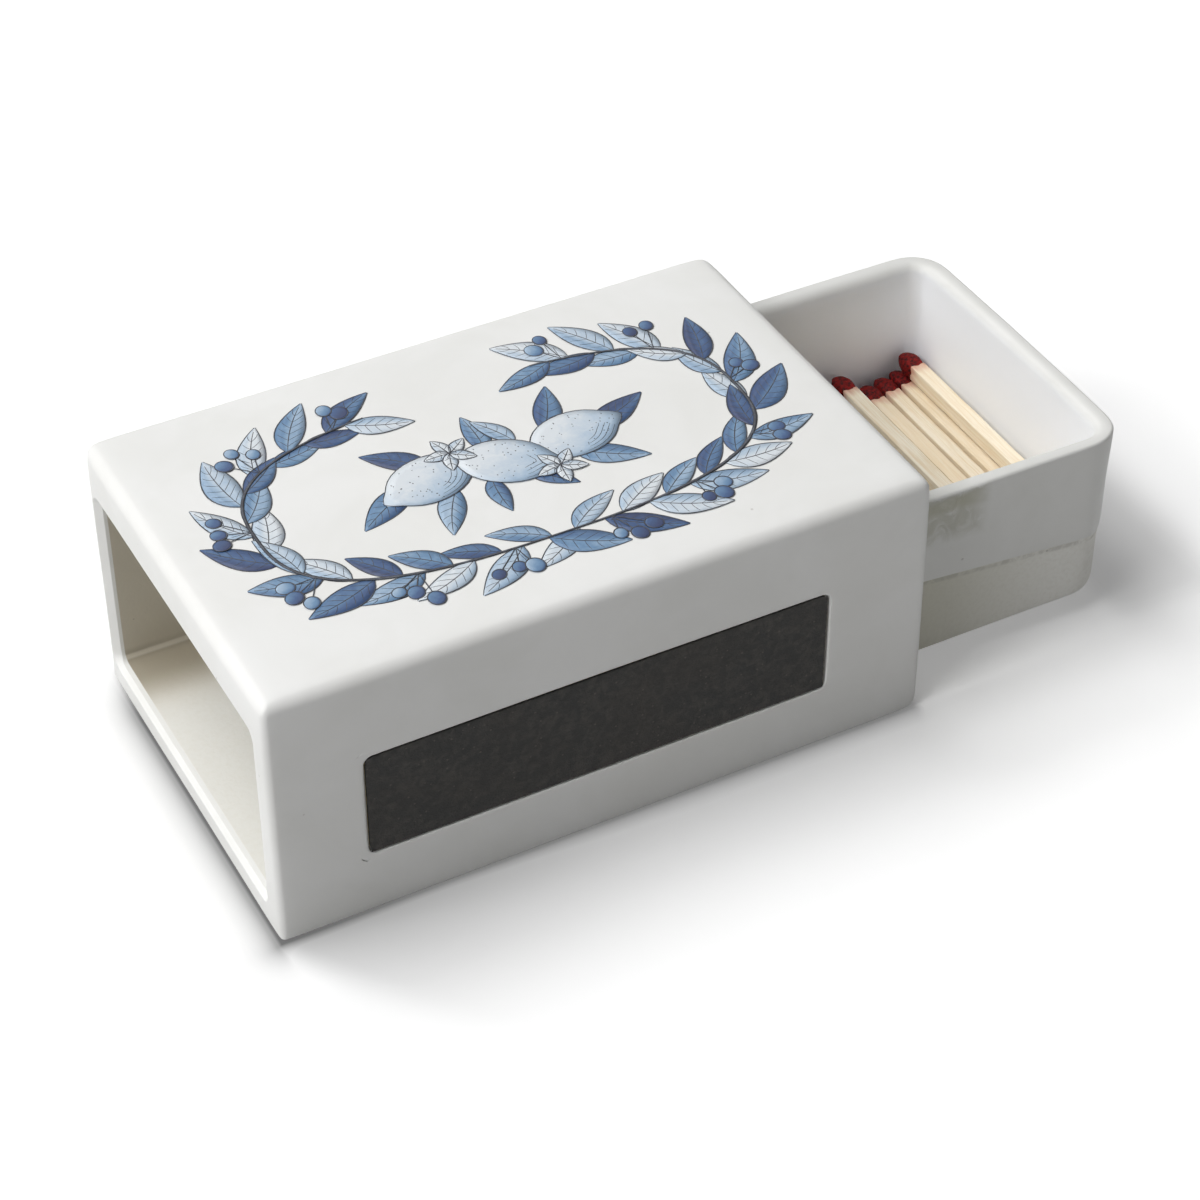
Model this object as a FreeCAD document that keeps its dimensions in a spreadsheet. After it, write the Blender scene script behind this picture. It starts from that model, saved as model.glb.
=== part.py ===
import FreeCAD, Part
import math
import os
import Sketcher

# A ceramic matchbox holder: a rectangular sleeve open at both ends, a drawer that slides
# through it along X, a striking strip glued into a recess of the front wall, and wooden
# matches lying across the drawer. Millimetres, +Z up. The origin is the middle of the
# sleeve's base. The drawer stands part of the way out of the +X end.

SHEET = "Sizes"

# Driving dimensions: alias, value, what it measures.
DIMENSIONS = (
    ("match_length", 47.6, "whole match, from tail to tip of the head"),
    ("match_room", 4.6, "free length that the cavity leaves a match"),
    ("splint_side", 2.8, "side of the square splint"),
    ("head_diameter", 3.3, "thickest part of a match head"),
    ("head_length", 4.9, "head, from its seat on the splint to its tip"),
    ("head_tip_round", 1.4, "rounding of a head's tip"),
    ("head_neck_round", 0.5, "rounding of a head where it meets the splint"),
    ("match_gap", 0.15, "least gap between two matches"),
    ("match_rest_gap", 0.05, "gap under the heads of the lowest layer"),
    ("match_wall_gap", 0.9, "least gap between a match and the rounding of a drawer wall"),
    ("match_fan", 0.3, "most that a match is turned about its head, degrees"),
    ("drawer_length", 109.0, "drawer along X"),
    ("drawer_height", 32.4, "drawer from its underside to its rim"),
    ("drawer_wall", 3.6, "drawer wall"),
    ("drawer_floor", 3.6, "drawer floor"),
    ("drawer_corner", 5.8, "upright outer corners of the drawer"),
    ("cavity_corner", 3.0, "upright inner corners of the drawer"),
    ("cavity_round", 1.5, "inner edge between drawer floor and walls"),
    ("rim_round", 1.3, "both edges of the drawer's rim"),
    ("underside_round", 3.0, "lower outer edge of the drawer"),
    ("foot_height", 13.0, "lower, slightly narrower stretch of the drawer's walls"),
    ("foot_step", 0.4, "how far the lower stretch stands back"),
    ("drawer_open", 40.8, "how far the drawer stands out of the sleeve"),
    ("side_clearance", 0.5, "drawer to sleeve, each side"),
    ("floor_clearance", 0.1, "drawer underside to sleeve floor"),
    ("head_clearance", 0.8, "drawer rim to sleeve ceiling"),
    ("end_inset", 0.5, "closed drawer behind each end of the sleeve"),
    ("sleeve_wall", 4.6, "side walls of the sleeve"),
    ("sleeve_floor", 4.7, "floor of the sleeve"),
    ("sleeve_roof", 8.2, "roof of the sleeve"),
    ("sleeve_corner", 1.9, "upright outer corners of the sleeve"),
    ("sleeve_top_round", 2.4, "upper outer edges of the sleeve"),
    ("sleeve_base_round", 0.8, "lower outer edges of the sleeve"),
    ("tunnel_corner", 2.5, "corners of the tunnel's section"),
    ("mouth_round", 1.0, "inner edges of the tunnel's two mouths"),
    ("striker_length", 77.2, "striking strip along X"),
    ("striker_height", 18.7, "striking strip along Z"),
    ("striker_thickness", 0.5, "striking strip, coating and paper"),
    ("striker_corner", 1.4, "corners of the striking strip"),
    ("striker_offset", -1.3, "middle of the strip along X, from the middle of the sleeve"),
    ("striker_above_base", 21.0, "middle of the strip above the base"),
    ("striker_gap", 0.2, "strip to the edge of its recess"),
    ("striker_sunk", 0.2, "face of the strip behind the face of the wall"),
    ("adhesive_thickness", 0.1, "film of adhesive behind the strip"),
)

# Sizes that follow from the driving ones.
SPLINT_LENGTH = f"({SHEET}.match_length - {SHEET}.head_length)"
CAVITY_LENGTH = f"({SHEET}.drawer_length - 2 * {SHEET}.drawer_wall)"
CAVITY_WIDTH = f"({SHEET}.match_length + {SHEET}.match_room)"
DRAWER_WIDTH = f"({CAVITY_WIDTH} + 2 * {SHEET}.drawer_wall)"
DRAWER_LEVEL = f"({SHEET}.sleeve_floor + {SHEET}.floor_clearance)"
TUNNEL_WIDTH = f"({DRAWER_WIDTH} + 2 * {SHEET}.side_clearance)"
TUNNEL_HEIGHT = f"({SHEET}.drawer_height + {SHEET}.floor_clearance + {SHEET}.head_clearance)"
SLEEVE_LENGTH = f"({SHEET}.drawer_length + 2 * {SHEET}.end_inset)"
SLEEVE_WIDTH = f"({TUNNEL_WIDTH} + 2 * {SHEET}.sleeve_wall)"
SLEEVE_HEIGHT = f"({SHEET}.sleeve_floor + {TUNNEL_HEIGHT} + {SHEET}.sleeve_roof)"
RECESS_DEPTH = f"({SHEET}.adhesive_thickness + {SHEET}.striker_thickness + {SHEET}.striker_sunk)"
RECESS_FLOOR = f"({SLEEVE_WIDTH} / 2 - {RECESS_DEPTH})"

# Roundings, each limited by the wall or corner that carries it.
END_FACE = f"min({SHEET}.sleeve_wall - {SHEET}.sleeve_corner; {SHEET}.sleeve_roof - {SHEET}.sleeve_top_round)"
MOUTH_ROUND = f"min({SHEET}.mouth_round; 0.9 * {END_FACE})"
RIM_ROUND = f"min({SHEET}.rim_round; 0.48 * {SHEET}.drawer_wall)"
UNDERSIDE_ROUND = f"min({SHEET}.underside_round; 0.9 * ({SHEET}.drawer_corner - {SHEET}.foot_step))"
CAVITY_ROUND = f"min({SHEET}.cavity_round; 0.9 * {SHEET}.cavity_corner)"
TIP_ROUND = f"min({SHEET}.head_tip_round; 0.45 * {SHEET}.head_diameter)"
NECK_ROUND = f"min({SHEET}.head_neck_round; 0.3 * {SHEET}.head_diameter)"

# The heap of matches, lowest layer first: the columns that each layer fills, counted in
# match widths from the drawer's end wall. Layers nest, so columns alternate by a half.
MATCH_LAYERS = (
    [column + 0.5 for column in range(10)],
    [column for column in range(9)],
    [column + 0.5 for column in range(6)],
    [0, 4],
)


def make_sheet(doc):
    """Fill the spreadsheet with the driving dimensions."""
    sheet = doc.addObject("Spreadsheet::Sheet", SHEET)
    for row, (alias, number, meaning) in enumerate(DIMENSIONS, start=1):
        sheet.set(f"A{row}", alias)
        sheet.set(f"B{row}", str(number))
        sheet.setAlias(f"B{row}", alias)
        sheet.set(f"C{row}", meaning)
    doc.recompute()
    return sheet


def value(doc, expression):
    """Number that an expression of sheet cells comes to."""
    return float(doc.getObject(SHEET).evalExpression(expression))


def size(doc, alias):
    """Number in one cell of the sheet."""
    return value(doc, f"{SHEET}.{alias}")


def bind(thing, **properties):
    """Drive properties of an object by expressions; a double underscore stands for a dot."""
    for name, expression in properties.items():
        thing.setExpression(name.replace("__", "."), expression)


def add_sketch(body, name, role, offset="0"):
    """Sketch on one of the body's own origin planes, moved along its normal."""
    sketch = body.newObject("Sketcher::SketchObject", name)
    plane = next(item for item in body.Origin.OriginFeatures if item.Role == role)
    sketch.AttachmentSupport = [(plane, "")]
    sketch.MapMode = "FlatFace"
    bind(sketch, AttachmentOffset__Base__z=offset)
    return sketch


def rounded_rectangle(sketch, width, height, corner, middle_x="0", middle_y="0"):
    """Constrained rectangle with round corners; all five sizes are expressions."""
    doc = sketch.Document
    half_w = value(doc, width) / 2
    half_h = value(doc, height) / 2
    radius = value(doc, corner)
    at_x = value(doc, middle_x)
    at_y = value(doc, middle_y)

    def point(x, y):
        return FreeCAD.Vector(at_x + x, at_y + y, 0)

    for turn in range(4):
        along = (half_w, half_h) if turn % 2 == 0 else (half_h, half_w)
        angle = turn * math.pi / 2
        side = FreeCAD.Rotation(FreeCAD.Vector(0, 0, 1), math.degrees(angle))
        start = side.multVec(FreeCAD.Vector(-along[0] + radius, -along[1], 0))
        end = side.multVec(FreeCAD.Vector(along[0] - radius, -along[1], 0))
        hub = side.multVec(FreeCAD.Vector(along[0] - radius, -along[1] + radius, 0))
        sketch.addGeometry(Part.LineSegment(point(start.x, start.y), point(end.x, end.y)))
        circle = Part.Circle(point(hub.x, hub.y), FreeCAD.Vector(0, 0, 1), radius)
        sketch.addGeometry(Part.ArcOfCircle(circle, angle - math.pi / 2, angle))
    add = sketch.addConstraint
    for turn in range(4):
        line = 2 * turn
        arc = line + 1
        add(Sketcher.Constraint("Tangent", line, 2, arc, 1))
        add(Sketcher.Constraint("Tangent", arc, 2, (line + 2) % 8, 1))
        add(Sketcher.Constraint("Horizontal" if turn % 2 == 0 else "Vertical", line))
        if turn:
            add(Sketcher.Constraint("Equal", 1, arc))
    named = (
        ("width", Sketcher.Constraint("DistanceX", 6, 1, 2, 1, 2 * half_w), width),
        ("height", Sketcher.Constraint("DistanceY", 0, 1, 4, 1, 2 * half_h), height),
        ("corner", Sketcher.Constraint("Radius", 1, radius), corner),
        ("right", Sketcher.Constraint("DistanceX", -1, 1, 2, 1, at_x + half_w), f"{middle_x} + {width} / 2"),
        ("top", Sketcher.Constraint("DistanceY", -1, 1, 4, 1, at_y + half_h), f"{middle_y} + {height} / 2"),
    )
    for name, constraint, expression in named:
        index = add(constraint)
        sketch.renameConstraint(index, name)
        sketch.setExpression(f"Constraints.{name}", expression)
    doc.recompute()


def extrude(body, kind, name, sketch, length, both_ways=False):
    """Pad or Pocket of a sketch; a Pocket has to take material away."""
    before = 0 if body.Shape.isNull() else body.Shape.Volume
    feature = body.newObject(f"PartDesign::{kind}", name)
    feature.Profile = sketch
    feature.Type = "Length"
    feature.SideType = "Symmetric" if both_ways else "One side"
    bind(feature, Length=length)
    body.Document.recompute()
    change = body.Shape.Volume - before
    if (change > 0) != (kind == "Pad"):
        raise RuntimeError(f"{name} changed the volume by {change:.3f}")
    return feature


def round_edges(body, name, radius, wanted):
    """Fillet the edges of the body, in its own frame, whose bounding box passes a test."""
    base = body.Tip
    edges = [f"Edge{i}" for i, edge in enumerate(base.Shape.Edges, start=1) if wanted(edge.BoundBox)]
    feature = body.newObject("PartDesign::Fillet", name)
    feature.Base = (base, edges)
    bind(feature, Radius=radius)
    body.Document.recompute()
    return feature


def at_height(level):
    """Test for an edge that lies flat at one height."""
    return lambda box: abs(box.ZMin - level) < 1e-3 and abs(box.ZMax - level) < 1e-3


def build_sleeve(doc):
    """Rectangular tube with a soft top, two rounded mouths and a recess for the strip."""
    body = doc.addObject("PartDesign::Body", "sleeve")
    plan = add_sketch(body, "sleeve_plan", "XY_Plane")
    rounded_rectangle(plan, SLEEVE_LENGTH, SLEEVE_WIDTH, f"{SHEET}.sleeve_corner")
    extrude(body, "Pad", "sleeve_block", plan, SLEEVE_HEIGHT)
    round_edges(body, "sleeve_top", f"{SHEET}.sleeve_top_round", at_height(value(doc, SLEEVE_HEIGHT)))
    round_edges(body, "sleeve_base", f"{SHEET}.sleeve_base_round", at_height(0))

    section = add_sketch(body, "tunnel_section", "YZ_Plane")
    middle = f"({SHEET}.sleeve_floor + {TUNNEL_HEIGHT} / 2)"
    rounded_rectangle(section, TUNNEL_WIDTH, TUNNEL_HEIGHT, f"{SHEET}.tunnel_corner", middle_y=middle)
    extrude(body, "Pocket", "tunnel", section, SLEEVE_LENGTH, both_ways=True)
    end = value(doc, SLEEVE_LENGTH) / 2
    half_tunnel = value(doc, TUNNEL_WIDTH) / 2
    floor = size(doc, "sleeve_floor")
    ceiling = floor + value(doc, TUNNEL_HEIGHT)

    def on_mouth(box):
        at_end = abs(abs(box.XMin) - end) < 1e-3 and box.XLength < 1e-3
        inside = max(abs(box.YMin), abs(box.YMax)) < half_tunnel + 1e-3
        return at_end and inside and box.ZMin > floor - 1e-3 and box.ZMax < ceiling + 1e-3

    round_edges(body, "mouths", MOUTH_ROUND, on_mouth)

    recess = add_sketch(body, "recess_outline", "XZ_Plane", f"{SLEEVE_WIDTH} / 2")
    strip_outline(recess, f"{SHEET}.striker_gap")
    extrude(body, "Pocket", "recess", recess, RECESS_DEPTH)
    return body


def strip_outline(sketch, margin):
    """Outline of the striking strip, grown by a margin."""
    rounded_rectangle(
        sketch,
        f"({SHEET}.striker_length + 2 * {margin})",
        f"({SHEET}.striker_height + 2 * {margin})",
        f"({SHEET}.striker_corner + {margin})",
        f"{SHEET}.striker_offset",
        f"{SHEET}.striker_above_base",
    )


def build_strip_layer(doc, name, behind, thickness):
    """Flat layer of the strip: the adhesive film or the striking paper itself."""
    body = doc.addObject("PartDesign::Body", name)
    outline = add_sketch(body, f"{name}_outline", "XZ_Plane", behind)
    strip_outline(outline, "0")
    extrude(body, "Pad", f"{name}_sheet", outline, thickness)
    return body


def build_drawer(doc):
    """Tray with rounded rim and corners; its lower stretch stands back by a small step."""
    body = doc.addObject("PartDesign::Body", "drawer")
    step = f"{SHEET}.foot_step"
    foot = add_sketch(body, "foot_plan", "XY_Plane")
    rounded_rectangle(
        foot,
        f"({SHEET}.drawer_length - 2 * {step})",
        f"({DRAWER_WIDTH} - 2 * {step})",
        f"({SHEET}.drawer_corner - {step})",
    )
    extrude(body, "Pad", "foot", foot, f"{SHEET}.foot_height")
    walls = add_sketch(body, "wall_plan", "XY_Plane", f"{SHEET}.foot_height")
    rounded_rectangle(walls, f"{SHEET}.drawer_length", DRAWER_WIDTH, f"{SHEET}.drawer_corner")
    extrude(body, "Pad", "walls", walls, f"{SHEET}.drawer_height - {SHEET}.foot_height")
    cavity = add_sketch(body, "cavity_plan", "XY_Plane", f"{SHEET}.drawer_height")
    rounded_rectangle(cavity, CAVITY_LENGTH, CAVITY_WIDTH, f"{SHEET}.cavity_corner")
    extrude(body, "Pocket", "cavity", cavity, f"{SHEET}.drawer_height - {SHEET}.drawer_floor")
    round_edges(body, "rim", RIM_ROUND, at_height(size(doc, "drawer_height")))
    round_edges(body, "underside", UNDERSIDE_ROUND, at_height(0))
    round_edges(body, "cavity_edge", CAVITY_ROUND, at_height(size(doc, "drawer_floor")))
    bind(body, Placement__Base__x=f"{SHEET}.drawer_open", Placement__Base__z=DRAWER_LEVEL)
    return body


def scatter(number, phase):
    """Even-looking spread between -1 and 1, the same on every run."""
    return math.sin(7.3 * number + phase)


def build_matches(doc):
    """Heap of matches across the drawer, heads towards +Y, each a splint and a head."""
    side = size(doc, "splint_side")
    head = size(doc, "head_diameter")
    gap = size(doc, "match_gap")
    fan = size(doc, "match_fan")
    tail_swing = value(doc, SPLINT_LENGTH) * math.sin(math.radians(fan))
    pitch = max(side + 2 * tail_swing, head) + gap
    beside = max(0, (pitch - side) / 2 - gap)
    head_on_heads = math.sqrt((head + gap) ** 2 - (pitch / 2) ** 2)
    head_on_splints = side / 2 + math.sqrt((head / 2 + gap) ** 2 - beside ** 2)
    layer_rise = max(side + gap, head_on_heads, head_on_splints)

    thickest = max(side, head)
    splint_lift = size(doc, "match_rest_gap") + (thickest - side) / 2
    wall_gap = size(doc, "match_wall_gap") + rounding_reach(value(doc, CAVITY_ROUND), splint_lift)
    play = max(0, size(doc, "match_room") / 2 - wall_gap)
    end_wall = size(doc, "drawer_open") + value(doc, CAVITY_LENGTH) / 2
    floor = value(doc, DRAWER_LEVEL) + size(doc, "drawer_floor")
    first_x = end_wall - wall_gap - thickest / 2
    first_z = floor + size(doc, "match_rest_gap") + thickest / 2
    seat_y = size(doc, "match_length") / 2 - size(doc, "head_length")

    pieces = []
    number = 0
    for layer, columns in enumerate(MATCH_LAYERS):
        for column in columns:
            number += 1
            seat = FreeCAD.Vector(
                first_x - column * pitch,
                seat_y + play * scatter(number, 0.4),
                first_z + layer * layer_rise,
            )
            turn = FreeCAD.Rotation(FreeCAD.Vector(0, 0, 1), fan * scatter(number, 2.1))
            pieces += build_match(doc, f"match_{number:02d}", FreeCAD.Placement(seat, turn))
    return pieces


def rounding_reach(radius, lift):
    """How far a concave rounding reaches out from its wall, at a height above the floor."""
    below = max(0, radius - lift)
    return radius - math.sqrt(radius ** 2 - below ** 2)


def build_match(doc, name, seat):
    """One match; the seat is where the head sits on the end of the splint."""
    splint = doc.addObject("Part::Box", f"{name}_splint")
    bind(splint, Length=f"{SHEET}.splint_side", Height=f"{SHEET}.splint_side", Width=SPLINT_LENGTH)
    half = size(doc, "splint_side") / 2
    corner = FreeCAD.Vector(-half, -value(doc, SPLINT_LENGTH), -half)
    splint.Placement = seat * FreeCAD.Placement(corner, FreeCAD.Rotation())

    head = doc.addObject("PartDesign::Body", f"{name}_head")
    bulb = head.newObject("PartDesign::AdditiveCylinder", f"{name}_bulb")
    bind(bulb, Radius=f"{SHEET}.head_diameter / 2", Height=f"{SHEET}.head_length")
    doc.recompute()
    round_edges(head, f"{name}_tip", TIP_ROUND, at_height(size(doc, "head_length")))
    round_edges(head, f"{name}_neck", NECK_ROUND, at_height(0))
    towards_tip = FreeCAD.Rotation(FreeCAD.Vector(1, 0, 0), -90)
    head.Placement = seat * FreeCAD.Placement(FreeCAD.Vector(), towards_tip)
    return [splint, head]


def check(doc, pieces):
    """Stop on a failed object, or on a piece that is not one sound solid."""
    failed = [thing.Name for thing in doc.Objects if {"Invalid", "Error"} & set(thing.State)]
    if failed:
        raise RuntimeError(f"not recomputed: {failed}")
    for piece in pieces:
        shape = piece.Shape
        if shape.isNull() or not shape.isValid() or len(shape.Solids) != 1:
            raise RuntimeError(f"{piece.Label} is not one sound solid")


def main():
    doc = FreeCAD.newDocument("matchbox_holder")
    make_sheet(doc)
    paper_back = f"({RECESS_FLOOR} + {SHEET}.adhesive_thickness)"
    pieces = [
        build_sleeve(doc),
        build_drawer(doc),
        build_strip_layer(doc, "striker_adhesive", RECESS_FLOOR, f"{SHEET}.adhesive_thickness"),
        build_strip_layer(doc, "striker_strip", paper_back, f"{SHEET}.striker_thickness"),
    ]
    pieces += build_matches(doc)
    doc.recompute()
    check(doc, pieces)
    os.makedirs("parts", exist_ok=True)
    for piece in pieces:
        piece.Shape.exportStep(f"parts/{piece.Label}.step")
        box = piece.Shape.BoundBox
        print(f"{piece.Label}: {box.XLength:.1f} x {box.YLength:.1f} x {box.ZLength:.1f} mm")


main()
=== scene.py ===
import logging
import math
import random
from abc import ABC, abstractmethod
from collections.abc import Callable, Iterator, Sequence
from contextlib import contextmanager
from dataclasses import dataclass, field
from enum import Enum, IntEnum
from typing import Any

import bmesh
import bpy
from mathutils import Matrix, Vector
from mathutils.bvhtree import BVHTree


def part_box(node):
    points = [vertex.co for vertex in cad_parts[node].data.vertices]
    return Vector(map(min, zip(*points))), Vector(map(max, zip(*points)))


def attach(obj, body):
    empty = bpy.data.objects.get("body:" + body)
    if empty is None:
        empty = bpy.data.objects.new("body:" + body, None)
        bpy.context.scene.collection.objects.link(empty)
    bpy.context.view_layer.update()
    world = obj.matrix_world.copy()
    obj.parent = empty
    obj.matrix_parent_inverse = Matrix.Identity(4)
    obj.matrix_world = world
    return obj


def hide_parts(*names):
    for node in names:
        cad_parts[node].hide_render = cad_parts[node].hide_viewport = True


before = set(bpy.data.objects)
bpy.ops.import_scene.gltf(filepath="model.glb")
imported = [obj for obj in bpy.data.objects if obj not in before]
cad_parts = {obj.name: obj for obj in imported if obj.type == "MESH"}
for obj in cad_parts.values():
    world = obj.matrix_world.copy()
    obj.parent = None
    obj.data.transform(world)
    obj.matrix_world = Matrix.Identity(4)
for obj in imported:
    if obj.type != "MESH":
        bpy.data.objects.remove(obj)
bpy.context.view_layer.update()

MM = 0.001
# A face looks straight along an axis when its normal has at least this much of it.
STRAIGHT = 0.999
# The step over the drawer's foot falls by LEAN towards +X, and is level before LEAN_FROM - LEAN_SPAN.
LEAN = 0.1
LEAN_FROM = 75 * MM
LEAN_SPAN = 20 * MM
LOG = logging.getLogger("matchbox_holder")

Colour = tuple[float, float, float, float]
Line = tuple[list[Vector], float]
Rule = tuple[float, Callable[[Vector, Vector], bool]]


def tint(red: float, green: float, blue: float) -> Colour:
    """Turn a colour as seen on a screen, 0 to 255, into the shader's own numbers.

    Args:
        red: red, 0 to 255.
        green: green, 0 to 255.
        blue: blue, 0 to 255.

    Returns:
        The linear colour with a solid fourth value.
    """
    def linear(value: float) -> float:
        """One channel without the screen's curve."""
        part = value / 255.0
        return part / 12.92 if part <= 0.04045 else ((part + 0.055) / 1.055) ** 2.4

    return (linear(red), linear(green), linear(blue), 1.0)


def grey(value: float) -> Colour:
    """Give a grey in the shader's own numbers."""
    return (value, value, value, 1.0)


def same(first: float, second: float) -> bool:
    """Say whether two lengths meet."""
    return abs(first - second) < 0.01 * MM


def clamp(value: float) -> float:
    """Hold a value between 0 and 1."""
    return min(1.0, max(0.0, value))


def span(node: str) -> tuple[Vector, Vector]:
    """Give the lowest and the highest corner of a CAD node."""
    low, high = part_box(node)
    return Vector(low), Vector(high)


def stand_off(place: Sequence[float], half: Sequence[float], corner: float) -> float:
    """Measure out from the core of a rounded rectangle; its outline is one corner radius out.

    Args:
        place: a place, from the rectangle's middle.
        half: half the rectangle's sides.
        corner: radius of its corners.

    Returns:
        The distance.
    """
    return math.hypot(*(max(0.0, abs(off) - edge + corner) for off, edge in zip(place, half)))


class Body(Enum):
    """The bodies that pieces ride on."""

    SLEEVE = "sleeve"
    DRAWER = "drawer"


class Slot(Enum):
    """The record's finishes."""

    GLAZE = "glaze"
    STRIKER = "striker"
    WOOD = "match_wood"
    HEAD = "match_head"


class Pick(Enum):
    """What a selection is made of."""

    EDGES = "EDGE"
    FACES = "FACE"


class Facing(Enum):
    """The way a flat face looks."""

    LEFT = (-1, 0, 0)
    RIGHT = (1, 0, 0)
    FRONT = (0, -1, 0)
    UP = (0, 0, 1)

    @property
    def turn(self) -> tuple[float, float, float]:
        """The turn that makes a plane look that way."""
        return (-self.value[1] * math.pi / 2, self.value[0] * math.pi / 2, 0.0)

    def spread(self, width: float, height: float) -> tuple[float, ...]:
        """Give the scale that makes a unit plane of a width and height."""
        sizes = iter((width, height))
        return tuple(1.0 if part else next(sizes) for part in self.value)


class Bench:
    """A mesh piece on the bench, shaped with operators until it is handed over."""

    def __init__(self, obj: bpy.types.Object) -> None:
        """Put a piece on the bench."""
        self.obj = obj

    @classmethod
    def block(cls, name: str, low: Sequence[float], high: Sequence[float]) -> "Bench":
        """Start from a block.

        Args:
            name: the piece's name.
            low: the block's lowest corner.
            high: the block's highest corner.

        Returns:
            The bench with the block on it.
        """
        first, last = Vector(low), Vector(high)
        bpy.ops.object.select_all(action="DESELECT")
        bpy.ops.mesh.primitive_cube_add(size=1.0, location=(first + last) / 2, scale=last - first)
        obj = bpy.context.active_object
        obj.name = name
        obj.data.name = name
        bpy.ops.object.transform_apply(location=True, rotation=True, scale=True)
        return cls(obj)

    @contextmanager
    def edit(self) -> Iterator[None]:
        """Keep the piece in edit mode for a while."""
        bpy.context.view_layer.objects.active = self.obj
        bpy.ops.object.mode_set(mode="EDIT")
        yield
        bpy.ops.object.mode_set(mode="OBJECT")

    def pick(self, kind: Pick, test: Callable[[Any], bool]) -> None:
        """Select what passes a test, in edit mode.

        Args:
            kind: edges or faces.
            test: says whether one of them is wanted.
        """
        bpy.ops.mesh.select_mode(type=kind.value)
        bpy.ops.mesh.select_all(action="DESELECT")
        mesh = bmesh.from_edit_mesh(self.obj.data)
        for item in mesh.edges if kind is Pick.EDGES else mesh.faces:
            if test(item):
                item.select_set(True)
        mesh.select_flush_mode()
        bmesh.update_edit_mesh(self.obj.data)

    def cut(self, axis: int, places: Sequence[float]) -> None:
        """Cut the piece through at several places along an axis, in edit mode.

        Args:
            axis: 0, 1 or 2.
            places: where to cut.
        """
        normal = Vector([float(index == axis) for index in range(3)])
        for place in places:
            bpy.ops.mesh.select_all(action="SELECT")
            bpy.ops.mesh.bisect(plane_co=normal * place, plane_no=normal)

    def divide(self, middle: float, pitch: tuple[float, float], levels: Sequence[float]) -> None:
        """Cut the piece into patches about a middle along X, in edit mode.

        Args:
            middle: where the middle cut goes.
            pitch: the patches' length and width.
            levels: heights of the level cuts.
        """
        self.cut(0, [middle + step * pitch[0] for step in range(-6, 7)])
        self.cut(1, [step * pitch[1] for step in range(-3, 4)])
        self.cut(2, levels)

    def weigh(self, *rules: Rule) -> float:
        """Note on each edge how far it is to be rounded, in edit mode.

        Args:
            *rules: radius and test pairs; the first test that an edge's ends pass counts.

        Returns:
            The widest radius, which the rounding takes as its full width.
        """
        widest = max(radius for radius, _ in rules)
        mesh = bmesh.from_edit_mesh(self.obj.data)
        name = "bevel_weight_edge"
        layer = mesh.edges.layers.float.get(name) or mesh.edges.layers.float.new(name)
        for edge in mesh.edges:
            ends = [vert.co for vert in edge.verts]
            edge[layer] = next((radius / widest for radius, test in rules if test(*ends)), 0.0)
        bmesh.update_edit_mesh(self.obj.data)
        return widest

    def modify(self, kind: str, **settings: Any) -> None:
        """Add a modifier and apply it.

        Args:
            kind: the modifier's type.
            **settings: the modifier's own settings.
        """
        bpy.ops.object.select_all(action="DESELECT")
        self.obj.select_set(True)
        bpy.context.view_layer.objects.active = self.obj
        bpy.ops.object.modifier_add(type=kind)
        modifier = self.obj.modifiers[-1]
        for name, value in settings.items():
            setattr(modifier, name, value)
        bpy.ops.object.modifier_apply(modifier=modifier.name)

    def round_off(self, width: float, segments: int) -> None:
        """Round the weighed edges.

        Args:
            width: the full width, for a weight of one.
            segments: steps in each rounding.
        """
        limits = {"limit_method": "WEIGHT", "use_clamp_overlap": False}
        self.modify("BEVEL", width=width, segments=segments, **limits)

    def smooth(self, levels: int) -> None:
        """Divide the faces once or more into a smooth surface."""
        self.modify("SUBSURF", levels=levels, render_levels=levels)

    def sink(self, name: str, depth: float, grain: float) -> None:
        """Press soft unevenness into the surface, never outwards.

        Args:
            name: a name for the unevenness.
            depth: the deepest dent.
            grain: size of one dent.
        """
        clouds = bpy.data.textures.new(name, "CLOUDS")
        clouds.noise_scale = grain
        clouds.noise_depth = 1
        self.modify("DISPLACE", texture=clouds, texture_coords="LOCAL", strength=depth, mid_level=1.0)

    def shift(self, move: Callable[[Vector], Vector]) -> None:
        """Move every point by hand.

        Args:
            move: gives a point's new place.
        """
        for vertex in self.obj.data.vertices:
            vertex.co = move(vertex.co)
        self.obj.data.update()

    def outline(
        self, centre: Sequence[float], facing: Facing, size: tuple[float, float], corner: float
    ) -> None:
        """Lay a rounded rectangle in edit mode, which stays selected.

        Args:
            centre: its middle.
            facing: the way it looks.
            size: its width and height.
            corner: radius of its corners.
        """
        bpy.ops.mesh.select_all(action="DESELECT")
        bpy.ops.mesh.primitive_plane_add(size=1.0, location=centre, rotation=facing.turn)
        bpy.ops.transform.resize(value=facing.spread(*size), center_override=centre)
        bpy.ops.mesh.bevel(offset=corner, offset_type="OFFSET", segments=4, affect="VERTICES")
        bpy.ops.mesh.select_mode(type="FACE")

    def lip(self, radius: float, steps: int, inwards: bool = True) -> None:
        """Roll the selected face over a quarter round.

        Args:
            radius: of the round.
            steps: faces along it.
            inwards: over an outer edge if true, into an inner corner if not.
        """
        turns = [step * math.pi / 2 / steps for step in range(steps + 1)]
        for last, turn in zip(turns, turns[1:]):
            across = radius * (math.sin(turn) - math.sin(last))
            along = radius * (math.cos(last) - math.cos(turn))
            if not inwards:
                across, along = along, across
            bpy.ops.mesh.inset(thickness=across, depth=-along, use_even_offset=True)

    def push(self, way: Sequence[float], length: float) -> None:
        """Extrude the selected face along a direction."""
        bpy.ops.mesh.extrude_region_move(TRANSFORM_OT_translate={"value": Vector(way) * length})

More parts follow.
